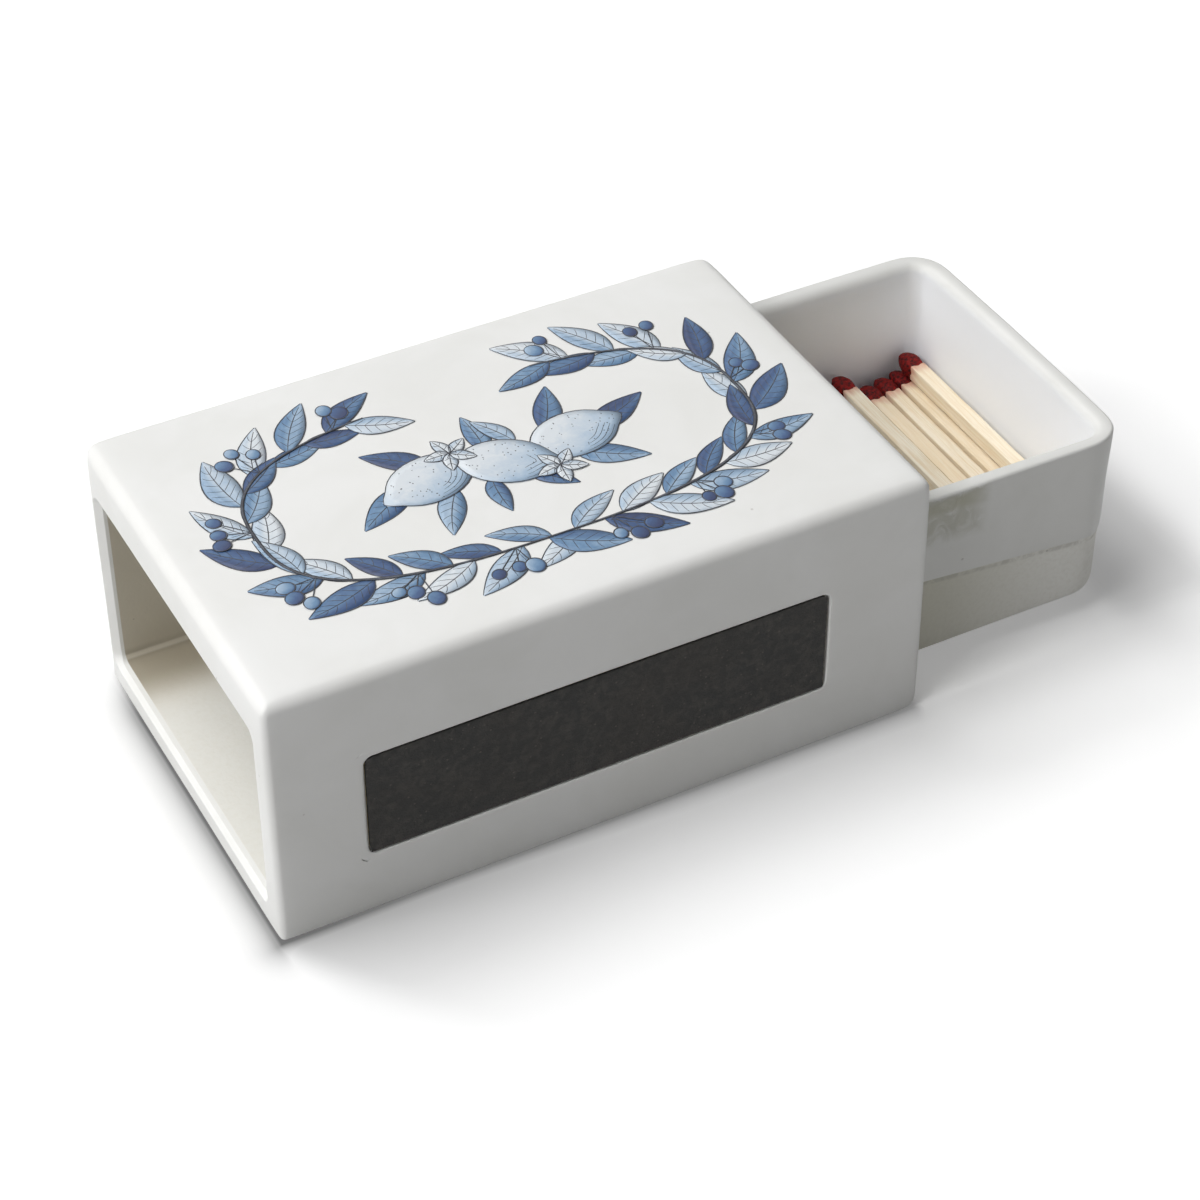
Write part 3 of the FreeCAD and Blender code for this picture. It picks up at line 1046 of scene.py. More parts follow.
@dataclass
class Sleeve:
    """The outer tube that the drawer runs through, with a shallow seat for the striking strip."""

    pitch: tuple[float, float] = (7.2 * MM, 7.4 * MM)
    levels: tuple[float, ...] = (8.6 * MM, 33.6 * MM)
    wall: float = 4.6 * MM
    floor: float = 4.7 * MM
    roof: float = 8.2 * MM
    top_round: float = 2.4 * MM
    upright_round: float = 1.4 * MM
    back_round: float = 3.2 * MM
    base_round: float = 0.8 * MM
    toe_round: float = 3.0 * MM
    tunnel_corner: float = 1.8 * MM
    mouth_round: float = 0.7 * MM
    mouth_land: float = 0.5 * MM
    far_cut: float = 1.1 * MM
    near_cut: float = 0.45 * MM
    floor_cut: float = 0.8 * MM
    roof_cut: float = 0.8 * MM
    cut_reach: float = 6.0 * MM
    cut_slack: float = 0.3 * MM
    land_gap: float = 0.1 * MM
    flare: float = 0.6 * MM
    flare_reach: float = 8.0 * MM
    seat_gap: float = 0.2 * MM
    seat_corner: float = 1.6 * MM
    seat_depth: float = 0.8 * MM
    seat_lip: float = 0.55 * MM
    seat_margin: float = 1.4 * MM
    seat_inset: float = 0.15 * MM
    dent: float = 0.16 * MM
    dent_size: float = 30.0 * MM

    def __post_init__(self) -> None:
        """Take the corners from the frame, and the tunnel's section from them."""
        self.low, self.high = span("sleeve")
        size = self.high - self.low
        self.half = Vector((size.y / 2 - self.wall, (size.z - self.floor - self.roof) / 2))
        self.middle = Vector((0.0, self.low.z + self.floor + self.half.y))

    def build(self) -> bpy.types.Object:
        """Model and dress the sleeve.

        Returns:
            The finished piece.
        """
        bench = Bench.block("ceramic_sleeve", self.low, self.high)
        with bench.edit():
            bench.divide(0.0, self.pitch, self.levels)
            width = bench.weigh(*self.roundings())
        bench.round_off(width, segments=4)
        with bench.edit():
            self.open_tunnel(bench)
            self.sink_seat(bench)
            bench.tidy()
        bench.smooth(levels=2)
        bench.shift(self.trim)
        bench.sink("kiln_warp", self.dent, self.dent_size)
        return bench.hand_over(Body.SLEEVE, Slot.GLAZE, SleeveGlaze().build(), "sleeve")

    def roundings(self) -> list[Rule]:
        """List the radius of each outer edge.

        Returns:
            Radius and test pairs.
        """
        def on_end(first: Vector, last: Vector) -> bool:
            """Both ends lie on a mouth's plane."""
            return same(abs(first.x), self.high.x) and same(first.x, last.x)

        def on_side(first: Vector, last: Vector) -> bool:
            """Both ends lie on a long side."""
            return same(abs(first.y), self.high.y) and same(first.y, last.y)

        def level(height: float, first: Vector, last: Vector) -> bool:
            """Both ends lie at a height, on the outline."""
            flat = same(first.z, height) and same(last.z, height)
            return flat and (on_end(first, last) or on_side(first, last))

        return [
            (self.top_round, lambda a, b: level(self.high.z, a, b)),
            (self.toe_round, lambda a, b: level(self.low.z, a, b) and on_end(a, b) and a.x > 0),
            (self.base_round, lambda a, b: level(self.low.z, a, b)),
            (self.back_round, lambda a, b: on_end(a, b) and on_side(a, b) and a.y > 0),
            (self.upright_round, lambda a, b: on_end(a, b) and on_side(a, b)),
        ]

    def open_tunnel(self, bench: Bench) -> None:
        """Cut the tunnel from mouth to mouth, with rolled edges.

        Args:
            bench: the sleeve on the bench, in edit mode.
        """
        def mouth(face: bmesh.types.BMFace) -> bool:
            """The face is on one of the two end planes."""
            return abs(face.normal.x) > STRAIGHT and same(abs(face.calc_center_median().x), self.high.x)

        bench.pick(Pick.FACES, mouth)
        bpy.ops.mesh.delete(type="FACE")
        margin = self.mouth_round + self.mouth_land
        size = (2 * (self.half.x + margin), 2 * (self.half.y + margin))
        for facing, end in ((Facing.LEFT, self.low.x), (Facing.RIGHT, self.high.x)):
            bench.outline((end, *self.middle), facing, size, self.tunnel_corner + margin)
            bpy.ops.mesh.inset(thickness=self.mouth_land)
            bench.lip(self.mouth_round, steps=4)
            bench.push(-Vector(facing.value), self.mouth_land)
            bpy.ops.mesh.delete(type="ONLY_FACE")
            bench.bridge(lambda edge, end=end: all(same(vert.co.x, end) for vert in edge.verts))
        bench.bridge(lambda edge: True, cuts=11)

    def trim(self, point: Vector) -> Vector:
        """Cut back the left mouth's edges, each side by its own width, and flare the right foot.

        Args:
            point: the point as moulded.

        Returns:
            The point as trimmed.
        """
        moved = point.copy()
        if point.x > 0:
            near_end = max(0.0, 1.0 - (self.high.x - point.x) / self.flare_reach)
            up = (point.z - self.low.z) / (self.high.z - self.low.z)
            moved.x += self.flare * near_end * (1.0 - up)
            return moved
        deep = point.x - self.low.x
        roll = self.mouth_round
        land = self.wall - self.back_round - self.land_gap
        inner = self.half - Vector((self.tunnel_corner, self.tunnel_corner))
        spot = Vector((point.y, point.z)) - self.middle
        core = Vector([max(-limit, min(limit, value)) for limit, value in zip(inner, spot)])
        out = spot - core
        off = out.length - self.tunnel_corner
        if deep > self.cut_reach or not -self.cut_slack < off < land:
            return moved
        out.normalize()
        sides = (max(0.0, out.x), max(0.0, -out.x), max(0.0, -out.y), max(0.0, out.y))
        cuts = (self.far_cut, self.near_cut, self.floor_cut, self.roof_cut)
        cut = sum(side * side * width for side, width in zip(sides, cuts))
        if deep > roll:
            moved.x = self.low.x + cut + (deep - roll) * (self.cut_reach - cut) / (self.cut_reach - roll)
            return moved
        if off > roll:
            off = land - (land - off) * (land - cut) / (land - roll)
        else:
            turn = math.atan2(roll - off, roll - deep)
            flat = sides[0] ** 2 + sides[2] ** 2
            part = turn / (math.pi / 2)
            deep = cut * ((1 - flat) * (1 - math.cos(turn)) + flat * part)
            off = cut * ((1 - flat) * (1 - math.sin(turn)) + flat * (1 - part))
        place = self.middle + core + out * (self.tunnel_corner + off)
        return Vector((self.low.x + deep, place.x, place.y))

    def sink_seat(self, bench: Bench) -> None:
        """Sink the striking strip's seat into the front.

        Args:
            bench: the sleeve on the bench, in edit mode.
        """
        first, last = span("striker_strip")
        gap = self.seat_gap + self.seat_lip
        left, right = first.x - gap, last.x + gap
        bottom, top = first.z - gap, last.z + gap
        margin = self.seat_margin
        front = self.low.y
        bench.cut(0, [left - margin, right + margin])
        bench.cut(2, [bottom - margin, top + margin])

        def inside(face: bmesh.types.BMFace) -> bool:
            """Say whether a face is on the front, within the seat's margin.

            Args:
                face: the face.

            Returns:
                True for one to be cut out.
            """
            middle = face.calc_center_median()
            across = left - margin < middle.x < right + margin
            upright = bottom - margin < middle.z < top + margin
            return same(middle.y, front) and across and upright

        bench.pick(Pick.FACES, inside)
        bpy.ops.mesh.delete(type="FACE")
        centre = ((left + right) / 2, front, (bottom + top) / 2)
        corner = self.seat_corner + self.seat_lip
        bench.outline(centre, Facing.FRONT, (right - left, top - bottom), corner)
        bench.lip(self.seat_lip, steps=3)
        bench.push((0.0, 1.0, 0.0), self.seat_depth - self.seat_lip)
        bpy.ops.mesh.inset(thickness=self.seat_inset)
        bench.bridge(lambda edge: all(same(vert.co.y, front) for vert in edge.verts))


class Pen(float, Enum):
    """The widths of the print's lines, as shares of its usual line."""

    FINE = 0.5
    RIB = 0.8
    STALK = 0.9
    EDGE = 1.0
    DOT = 1.7
    BRANCH = 2.6


@dataclass(frozen=True)
class Motif(ABC):
    """One shape of the print, flat on the top."""

    root: Vector
    turn: float
    length: float
    width: float
    tone: float
    layer: int

    def set_down(self, ahead: float, aside: float) -> Vector:
        """Find the place at two distances along and across the shape's own way."""
        cos, sin = math.cos(self.turn), math.sin(self.turn)
        return self.root + Vector((ahead * cos - aside * sin, ahead * sin + aside * cos, 0.0))

    @abstractmethod
    def point(self, first: float, second: float) -> Vector:
        """Find a place on the shape, with no height."""

    @abstractmethod
    def shade(self, first: float, second: float) -> float:
        """Give the tone at a place."""

    @abstractmethod
    def lines(self) -> list[Line]:
        """Give the drawn lines, each with its width."""


@dataclass(frozen=True)
class Leaf(Motif):
    """One leaf or petal, from its stalk at the root."""

    bend: float

    def point(self, along: float, across: float) -> Vector:
        """Find a place on the leaf.

        Args:
            along: 0 at the stalk, 1 at the tip.
            across: -1 and 1 at the two edges.

        Returns:
            The place, with no height.
        """
        girth = self.width / 2 * math.sin(math.pi * along ** 0.82) ** 0.9
        aside = self.bend * self.length * along * along + girth * across
        return self.set_down(self.length * along, aside)

    def shade(self, along: float, across: float) -> float:
        """Give the tone at a place: darker by the stalk and on one half."""
        half = 0.07 if across > 0.05 else -0.09
        return self.tone + half + 0.16 * (0.45 - along) + 0.06 * abs(across)

    def lines(self) -> list[Line]:
        """Draw the two edges, the midrib and the veins.

        Returns:
            Lines with their widths.
        """
        count = 12
        steps = [0.01 + 0.98 * step / count for step in range(count + 1)]
        drawn = [([self.point(step, edge) for step in steps], Pen.EDGE) for edge in (-1.0, 1.0)]
        drawn.append(([self.point(step * 0.92, 0.0) for step in steps], Pen.RIB))
        veins = max(3, round(self.length / (1.9 * MM)))
        for vein in range(1, veins):
            start = vein / veins * 0.86
            for edge in (-0.82, 0.82):
                thirds = [step / 3 for step in range(4)]
                run = [self.point(start + 0.13 * third, edge * third ** 0.9) for third in thirds]
                drawn.append((run, Pen.FINE))
        return drawn


@dataclass(frozen=True)
class Fruit(Motif):
    """One round fruit about its root, with a tip where it is a citrus."""

    tip: float

    def point(self, out: float, angle: float) -> Vector:
        """Find a place on the fruit.

        Args:
            out: 0 in the middle, 1 at the rim.
            angle: round the fruit, 0 at its tip.

        Returns:
            The place, with no height.
        """
        bend = math.atan2(math.sin(angle), math.cos(angle))
        nose = self.tip * math.exp(-((bend / 0.3) ** 2))
        heel = self.tip * 0.3 * math.exp(-(((abs(bend) - math.pi) / 0.3) ** 2))
        ahead = out * (self.length / 2 * math.cos(angle) + nose - heel)
        return self.set_down(ahead, out * self.width / 2 * math.sin(angle))

    def shade(self, out: float, angle: float) -> float:
        """Give the tone at a place: pale to the back left, darker to the front right."""
        fall = math.cos(angle + self.turn + math.pi / 4)
        return self.tone + 0.22 * out * fall + 0.1 * out ** 4

    def lines(self) -> list[Line]:
        """Draw the rim, and four short rows of shading on a citrus.

        Returns:
            Lines with their widths.
        """
        count = 30
        turns = [2 * math.pi * step / count for step in range(count + 1)]
        drawn = [([self.point(1.0, angle) for angle in turns], Pen.EDGE)]
        for row in range(4 if self.tip else 0):
            start = -math.pi / 4 - self.turn - 0.75 + 0.12 * row
            run = [self.point(0.9 - 0.13 * row, start + 1.3 * step / 8) for step in range(9)]
            drawn.append((run, Pen.FINE))
        return drawn


class Layer(IntEnum):
    """The lowest layer of each kind of shape or line, counted up from the glaze."""

    LEAF = 0
    LEMON = 11
    BRANCH = 12
    STALK = 13
    BERRY = 14
    PETAL = 15
    STAMEN = 20


@dataclass
class TopPrint:
    """A garland of leaves and berries round three lemons, printed on the sleeve's top."""

    sleeve: bpy.types.Object
    half: tuple[float, float] = (40.5 * MM, 19.8 * MM)
    squareness: float = 0.72
    step: float = 1.0 * MM
    spacing: int = 7
    leaf_lean: tuple[float, float] = (34.0, 50.0)
    leaf_outside: tuple[float, float] = (11.0, 13.0)
    leaf_inside: tuple[float, float] = (9.5, 11.5)
    leaf_girth: tuple[float, float] = (0.36, 0.44)
    leaf_curl: tuple[float, float] = (0.5, 1.1)
    berry_counts: tuple[int, ...] = (2, 3)
    berry_reach: tuple[float, float] = (4.2, 6.6)
    berry_size: tuple[float, float] = (2.1, 2.9)
    berry_tones: tuple[float, ...] = (0.45, 0.7, 0.88)
    lemon_size: tuple[float, float] = (14.6 * MM, 10.6 * MM)
    lemon_tip: float = 1.7 * MM
    lemon_tone: float = 0.1
    peel_dots: int = 46
    peel_dot: tuple[float, float] = (0.16 * MM, 0.05 * MM)
    peel_pen: tuple[float, float] = (0.6, 1.1)
    petals: int = 5
    stamens: int = 9
    stamen_reach: tuple[float, float] = (0.9, 1.5)
    petal_size: tuple[float, float] = (4.3 * MM, 2.3 * MM)
    petal_tone: float = 0.06
    petal_bend: float = 0.08
    spray_bend: float = 0.18
    spray_girth: float = 0.4
    spray_squeeze: tuple[float, float] = (0.72, 0.5)
    line: float = 0.11 * MM
    line_relief: float = 0.03
    lift: float = 0.02 * MM
    layer_step: float = 0.01 * MM
    thickness: float = 0.12 * MM
    tones: tuple[float, ...] = (0.44, 0.16, 0.72, 0.28, 0.56, 0.08, 0.84)
    spray: tuple[tuple[float, ...], ...] = (
        (-20.5, 1.0, 200, 12.5, 0.62),
        (-14.5, 6.2, 128, 11.5, 0.85),
        (-13.0, -6.0, 232, 11.0, 0.4),
        (-2.0, 6.0, 78, 9.5, 0.5),
        (3.0, -6.4, -62, 9.0, 0.78),
        (12.0, 6.6, 52, 11.5, 0.66),
        (14.5, -5.2, -44, 12.0, 0.5),
        (20.5, 1.8, 10, 12.5, 0.84),
        (-5.0, -6.4, -105, 8.5, 0.6),
        (5.0, 6.4, 108, 8.5, 0.3),
    )
    fruits: tuple[tuple[float, ...], ...] = ((-12.0, 0.8, 196), (12.4, 0.6, 8), (0.2, -0.6, -28))
    blossoms: tuple[tuple[float, float], ...] = ((-6.6, 5.0), (7.0, -5.4))
    seed: int = 11
    shapes: list[Motif] = field(default_factory=list)
    strokes: list[tuple[list[Vector], float, int]] = field(default_factory=list)

    def __post_init__(self) -> None:
        """Take the sleeve as the ground of the print, and start the random draws."""
        self.chance = random.Random(self.seed)
        self.ground = BVHTree.FromObject(self.sleeve, bpy.context.evaluated_depsgraph_get())

    def build(self) -> None:
        """Draw the print and lay it on the sleeve."""
        self.garland()
        self.lemons()
        for shape in self.shapes:
            self.strokes += [(run, width, shape.layer) for run, width in shape.lines()]
        self.paint().hand_over(Body.SLEEVE, Slot.GLAZE, BlueWash().build())
        self.draw().hand_over(Body.SLEEVE, Slot.GLAZE, PrintInk().build())

    def height(self, place: Vector, layer: float) -> float:
        """Find how high a layer of the print lies at a place."""
        hit = self.ground.ray_cast(Vector((place.x, place.y, 0.1)), Vector((0.0, 0.0, -1.0)))[0]
        return hit.z + self.lift + layer * self.layer_step

    def frame_point(self, angle: float) -> Vector:
        """Find a place on the garland's rounded frame.

        Args:
            angle: round the frame, 0 at its right end.

        Returns:
            The place, with no height.
        """
        sides = zip((math.cos(angle), math.sin(angle)), self.half)
        spot = [math.copysign(abs(part) ** self.squareness, part) * half for part, half in sides]
        return Vector((*spot, 0.0))

    def branch(self, side: int) -> list[Vector]:
        """Give even steps along one branch, from the front round to the back.

        Args:
            side: 1 for the right branch, -1 for the left.

        Returns:
            Points one step apart.
        """
        count = 600
        sweep = math.pi - 0.16
        turns = [-math.pi / 2 + side * (-0.07 + sweep * step / count) for step in range(count + 1)]
        even = [self.frame_point(turns[0])]
        for point in map(self.frame_point, turns):
            if (point - even[-1]).length >= self.step:
                even.append(point)
        return even

    def garland(self) -> None:
        """Grow the two leafy branches, with berries at every other pair of leaves."""
        for side in (1, -1):
            path = self.branch(side)
            self.strokes.append((path, Pen.BRANCH, Layer.BRANCH))
            for order, index in enumerate(range(3, len(path) - 2, self.spacing)):
                way = path[index + 1] - path[index - 1]
                heading = math.atan2(way.y, way.x)
                later = path[min(len(path) - 1, index + self.spacing // 2)]
                self.leaf(path[index], heading, side, order, outward=True)
                self.leaf(later, heading, side, order, outward=False)
                if order % 2 == 1:
                    self.berries(path[index + self.spacing // 4], heading, side)

    def leaf(self, root: Vector, heading: float, side: int, order: int, outward: bool) -> None:
        """Grow one leaf from a branch.

        Args:
            root: where its stalk starts.
            heading: the branch's way.
            side: the branch's side.
            order: the leaf's number along the branch.
            outward: outside the branch if true, inside if not.
        """
        lean = math.radians(self.chance.uniform(*self.leaf_lean)) * (-side if outward else side)
        length = self.chance.uniform(*(self.leaf_outside if outward else self.leaf_inside))
        width = length * self.chance.uniform(*self.leaf_girth)
        bend = -0.25 * math.copysign(1.0, lean) * self.chance.uniform(*self.leaf_curl)
        tone = self.tones[(order * 2 + outward + (side > 0) * 3) % len(self.tones)]
        layer = Layer.LEAF + 4 * (order % 3) + 2 * outward + (side > 0)
        self.shapes.append(Leaf(root, heading + lean, length * MM, width * MM, tone, layer, bend))

    def berries(self, root: Vector, heading: float, side: int) -> None:
        """Hang two or three berries on a branch.

        Args:
            root: where their stalks start.
            heading: the branch's way.
            side: the branch's side.
        """
        for berry in range(self.chance.choice(self.berry_counts)):
            lean = heading - side * (0.75 + 0.5 * berry)
            reach = self.chance.uniform(*self.berry_reach) * MM
            place = root + Vector((math.cos(lean) * reach, math.sin(lean) * reach, 0.0))
            stalk = [root.lerp(place, step / 5) for step in range(6)]
            self.strokes.append((stalk, Pen.STALK, Layer.STALK))
            size = self.chance.uniform(*self.berry_size) * MM
            tone = self.chance.choice(self.berry_tones)
            self.shapes.append(Fruit(place, lean, size * 1.12, size, tone, Layer.BERRY + berry, 0.0))

    def lemons(self) -> None:
        """Lay three lemons with their leaves and two blossoms in the middle."""
        along, across = self.spray_squeeze
        for order, (x, y, turn, length, tone) in enumerate(self.spray):
            root = Vector((x * along * MM, y * across * MM, 0.0))
            way, size = math.radians(turn), length * MM
            layer = Layer.LEAF + order
            leaf = Leaf(root, way, size, size * self.spray_girth, tone, layer, self.spray_bend)
            self.shapes.append(leaf)
        for order, (x, y, turn) in enumerate(self.fruits):
            root, way = Vector((x * MM, y * MM, 0.0)), math.radians(turn)
            layer = Layer.LEMON + order
            lemon = Fruit(root, way, *self.lemon_size, self.lemon_tone, layer, self.lemon_tip)
            self.shapes.append(lemon)
            self.stipple(lemon)
        for x, y in self.blossoms:
            self.blossom(Vector((x * MM, y * MM, 0.0)))

    def stipple(self, fruit: Fruit) -> None:
        """Dot a lemon's peel.

        Args:
            fruit: the lemon.
        """
        for _ in range(self.peel_dots):
            angle = self.chance.uniform(0.0, 2 * math.pi)
            out = math.sqrt(self.chance.uniform(0.05, 0.8))
            place = fruit.point(out, angle)
            dot = [place, place + Vector((*self.peel_dot, 0.0))]
            self.strokes.append((dot, self.chance.uniform(*self.peel_pen), fruit.layer))

    def blossom(self, centre: Vector) -> None:
        """Set a small white blossom with its stamens.

        Args:
            centre: its middle.
        """
        start = self.chance.uniform(0.0, 1.0)
        for petal in range(self.petals):
            turn = start + petal * 2 * math.pi / self.petals
            layer = Layer.PETAL + petal
            leaf = Leaf(centre, turn, *self.petal_size, self.petal_tone, layer, self.petal_bend)
            self.shapes.append(leaf)
        for stamen in range(self.stamens):
            turn = start + stamen * 2 * math.pi / self.stamens
            reach = self.chance.uniform(*self.stamen_reach) * MM
            tip = centre + Vector((math.cos(turn) * reach, math.sin(turn) * reach, 0.0))
            self.strokes.append(([centre, tip], Pen.FINE, Layer.STAMEN))
            dot = [tip, tip + Vector((0.12 * MM, 0.0, 0.0))]
            self.strokes.append((dot, Pen.DOT, Layer.STAMEN))

    def paint(self) -> Bench:
        """Lay the colour of every leaf and fruit.

        Returns:
            The bench with one thin piece.
        """
        bpy.ops.object.select_all(action="DESELECT")
        bpy.ops.mesh.primitive_grid_add(x_subdivisions=12, y_subdivisions=4, size=1.0)
        blade = bpy.context.active_object
        bpy.ops.object.select_all(action="DESELECT")
        bpy.ops.mesh.primitive_circle_add(vertices=30, radius=1.0, fill_type="NGON")
        disc = bpy.context.active_object
        with Bench(disc).edit():
            bpy.ops.mesh.select_all(action="SELECT")
            for _ in range(3):
                bpy.ops.mesh.inset(thickness=0.24)
        sheet = bmesh.new()
        tone = sheet.verts.layers.float.new("tone")
        for shape in self.shapes:
            start = len(sheet.verts)
            leafy = isinstance(shape, Leaf)
            sheet.from_mesh(blade.data if leafy else disc.data)
            sheet.verts.ensure_lookup_table()
            for vertex in sheet.verts[start:]:
                spot = vertex.co
                if leafy:
                    spot = (0.01 + 0.98 * (spot.x + 0.5), 2 * spot.y)
                else:
                    spot = (spot.length, math.atan2(spot.y, spot.x))
                vertex[tone] = shape.shade(*spot)
                vertex.co = shape.point(*spot)
                vertex.co.z = self.height(vertex.co, shape.layer)
        sheet.to_mesh(blade.data)
        sheet.free()
        blade.name = blade.data.name = "print_wash"
        bpy.data.objects.remove(disc, do_unlink=True)
        bench = Bench(blade)
        bench.modify("SOLIDIFY", thickness=self.thickness, offset=-1.0)
        return bench

    def draw(self) -> Bench:
        """Draw every line with a pen that swells in the middle of a stroke.

        Returns:
            The bench with one thin piece.
        """
        curve = bpy.data.curves.new("print_ink", "CURVE")
        curve.dimensions = "3D"
        curve.bevel_depth = self.line
        curve.bevel_resolution = 0
        curve.use_fill_caps = True
        storey = 10 * MM
        for run, width, layer in self.strokes:
            spline = curve.splines.new("POLY")
            spline.points.add(len(run) - 1)
            for index, (point, place) in enumerate(zip(spline.points, run)):
                part = index / max(1, len(run) - 1)
                point.co = (place.x, place.y, layer * storey, 1.0)
                swell = 0.55 + 0.45 * math.sin(math.pi * part) if len(run) > 2 else 1.0
                point.radius = width * swell
        ink = bpy.data.objects.new("print_ink", curve)
        bpy.context.collection.objects.link(ink)
        bpy.ops.object.select_all(action="DESELECT")
        ink.select_set(True)
        bpy.context.view_layer.objects.active = ink
        bpy.ops.object.convert(target="MESH")
        bench = Bench(bpy.context.active_object)

        def flatten(point: Vector) -> Vector:
            """Lay a point of a storey down on its own layer of the print.

            Args:
                point: the point as drawn.

            Returns:
                The point on the print.
            """
            layer = round(point.z / storey)
            rise = (point.z - layer * storey) * self.line_relief
            return Vector((point.x, point.y, self.height(point, layer + 0.5) + rise))

        bench.shift(flatten)
        return bench


@dataclass
class Drawer:
    """The tray that slides through the sleeve, with a rolled rim and a foot that steps in."""

    pitch: tuple[float, float] = (7.6 * MM, 7.0 * MM)
    levels: tuple[float, ...] = (9.2 * MM, 13.0 * MM, 22.5 * MM, 30.0 * MM)
    rim_wall: float = 3.4 * MM
    draft: float = 1.0 * MM
    draft_steps: int = 5
    floor: float = 3.6 * MM
    corner: float = 6.2 * MM
    cavity_corner: float = 3.0 * MM
    cavity_round: float = 1.5 * MM
    rim_round: float = 0.7 * MM
    rim_inside: float = 1.9 * MM
    underside_round: float = 2.3 * MM
    foot_height: float = 13.0 * MM
    foot_step: float = 0.28 * MM
    ledge_height: float = 0.2 * MM
    ledge_round: float = 0.12 * MM
    ledge_depth: float = 1.6 * MM
    ledge_reach: float = 8.0 * MM
    ledge_lift: float = 1.2 * MM
    end_bow: float = 0.45 * MM
    end_reach: float = 8.0 * MM
    top_from: float = 25.0 * MM
    top_reach: float = 12.0 * MM
    waves: tuple[tuple[float, float, float], ...] = (
        (11.0 * MM, 0.0, 0.11 * MM),
        (4.7 * MM, 1.0, 0.05 * MM),
    )
    wave_from: float = 32.0 * MM
    sway_slope: float = 0.02
    sway_from: float = 70.0 * MM
    sway_span: float = 20.0 * MM
    sway_start: float = 16.0 * MM
    sway_reach: float = 8.0 * MM
    sway_wall: float = 3.2 * MM
    patch: tuple[float, float] = (57.0 * MM, 31.0 * MM)
    patch_size: tuple[float, float] = (8.0 * MM, 3.4 * MM)
    patch_depth: float = 0.6 * MM
    patch_wall: float = 1.0 * MM
    dent: float = 0.22 * MM
    dent_size: float = 24.0 * MM

    def __post_init__(self) -> None:
        """Take the corners from the frame."""
        self.low, self.high = span("drawer")
        self.middle, self.half = (self.low + self.high) / 2, (self.high - self.low) / 2
        self.ledge = self.low.z + self.foot_height

    def build(self) -> None:
        """Model and dress the drawer."""
        step = Vector((self.foot_step, self.foot_step, 0.0))
        top = self.high - step
        top.z = self.ledge
        bench = Bench.block("ceramic_drawer", self.low + step, top)
        with bench.edit():
            self.raise_walls(bench)
            bench.divide(self.middle.x, self.pitch, self.levels)
            width = bench.weigh((self.corner, self.stands))
        bench.round_off(width, segments=6)
        with bench.edit():
            width = bench.weigh(*self.rings())
        bench.round_off(width, segments=4)
        with bench.edit():
            self.hollow(bench)
            bench.tidy()
        bench.smooth(levels=2)
        bench.shift(self.hand_made)
        bench.sink("drawer_warp", self.dent, self.dent_size)
        bench.hand_over(Body.DRAWER, Slot.GLAZE, DrawerGlaze().build(), "drawer")

    def raise_walls(self, bench: Bench) -> None:
        """Step the walls out over the foot and raise them.

        Args:
            bench: the foot's block, in edit mode.
        """
        bench.pick(Pick.FACES, lambda face: face.normal.z > 0.9)
        bench.push(Facing.UP.value, self.ledge_height)
        grow = [edge / (edge - self.foot_step) for edge in self.half.xy]
        bpy.ops.transform.resize(value=(*grow, 1.0), center_override=(*self.middle.xy, self.ledge))
        bench.push(Facing.UP.value, self.high.z - self.ledge - self.ledge_height)

    def stands(self, first: Vector, last: Vector) -> bool:
        """Say whether an edge stands at one of the four corners.

        Args:
            first: one end.
            last: the other end.

        Returns:
            True for an upright edge.
        """
        slack = self.foot_step + 0.01 * MM

        def at_corner(point: Vector) -> bool:
            """The point is at a corner of the walls or of the foot."""
            off = point - self.middle
            return abs(abs(off.x) - self.half.x) <= slack and abs(abs(off.y) - self.half.y) <= slack

        return at_corner(first) and at_corner(last) and not same(first.z, last.z)

    def rings(self) -> list[Rule]:
        """List the radius of each level edge round the outline.

        Returns:
            Radius and test pairs.
        """
        def ring(height: float, inset: float) -> Callable[[Vector, Vector], bool]:
            """Make the test of one ring.

            Args:
                height: the ring's height.
                inset: how far it is drawn in from the outline.

            Returns:
                The test of an edge's two ends.
            """
            half = [edge - inset for edge in self.half.xy]

            def on_ring(point: Vector) -> bool:
                """The point lies on the ring."""
                off = stand_off(point - self.middle, half, self.corner)
                return same(point.z, height) and abs(off - self.corner) < 0.06 * MM

            return lambda first, last: on_ring(first) and on_ring(last)

        return [
            (self.rim_round, ring(self.high.z, 0.0)),
            (self.underside_round, ring(self.low.z, self.foot_step)),
            (self.ledge_round, ring(self.ledge, self.foot_step)),
            (self.ledge_round, ring(self.ledge + self.ledge_height, 0.0)),
        ]

    def hollow(self, bench: Bench) -> None:
        """Sink the cavity, with a rolled rim and a soft floor edge.

        Args:
            bench: the drawer on the bench, in edit mode.
        """
        top = self.high.z

        def rim(face: bmesh.types.BMFace) -> bool:
            """The face is on the flat top."""
            return face.normal.z > STRAIGHT and same(face.calc_center_median().z, top)

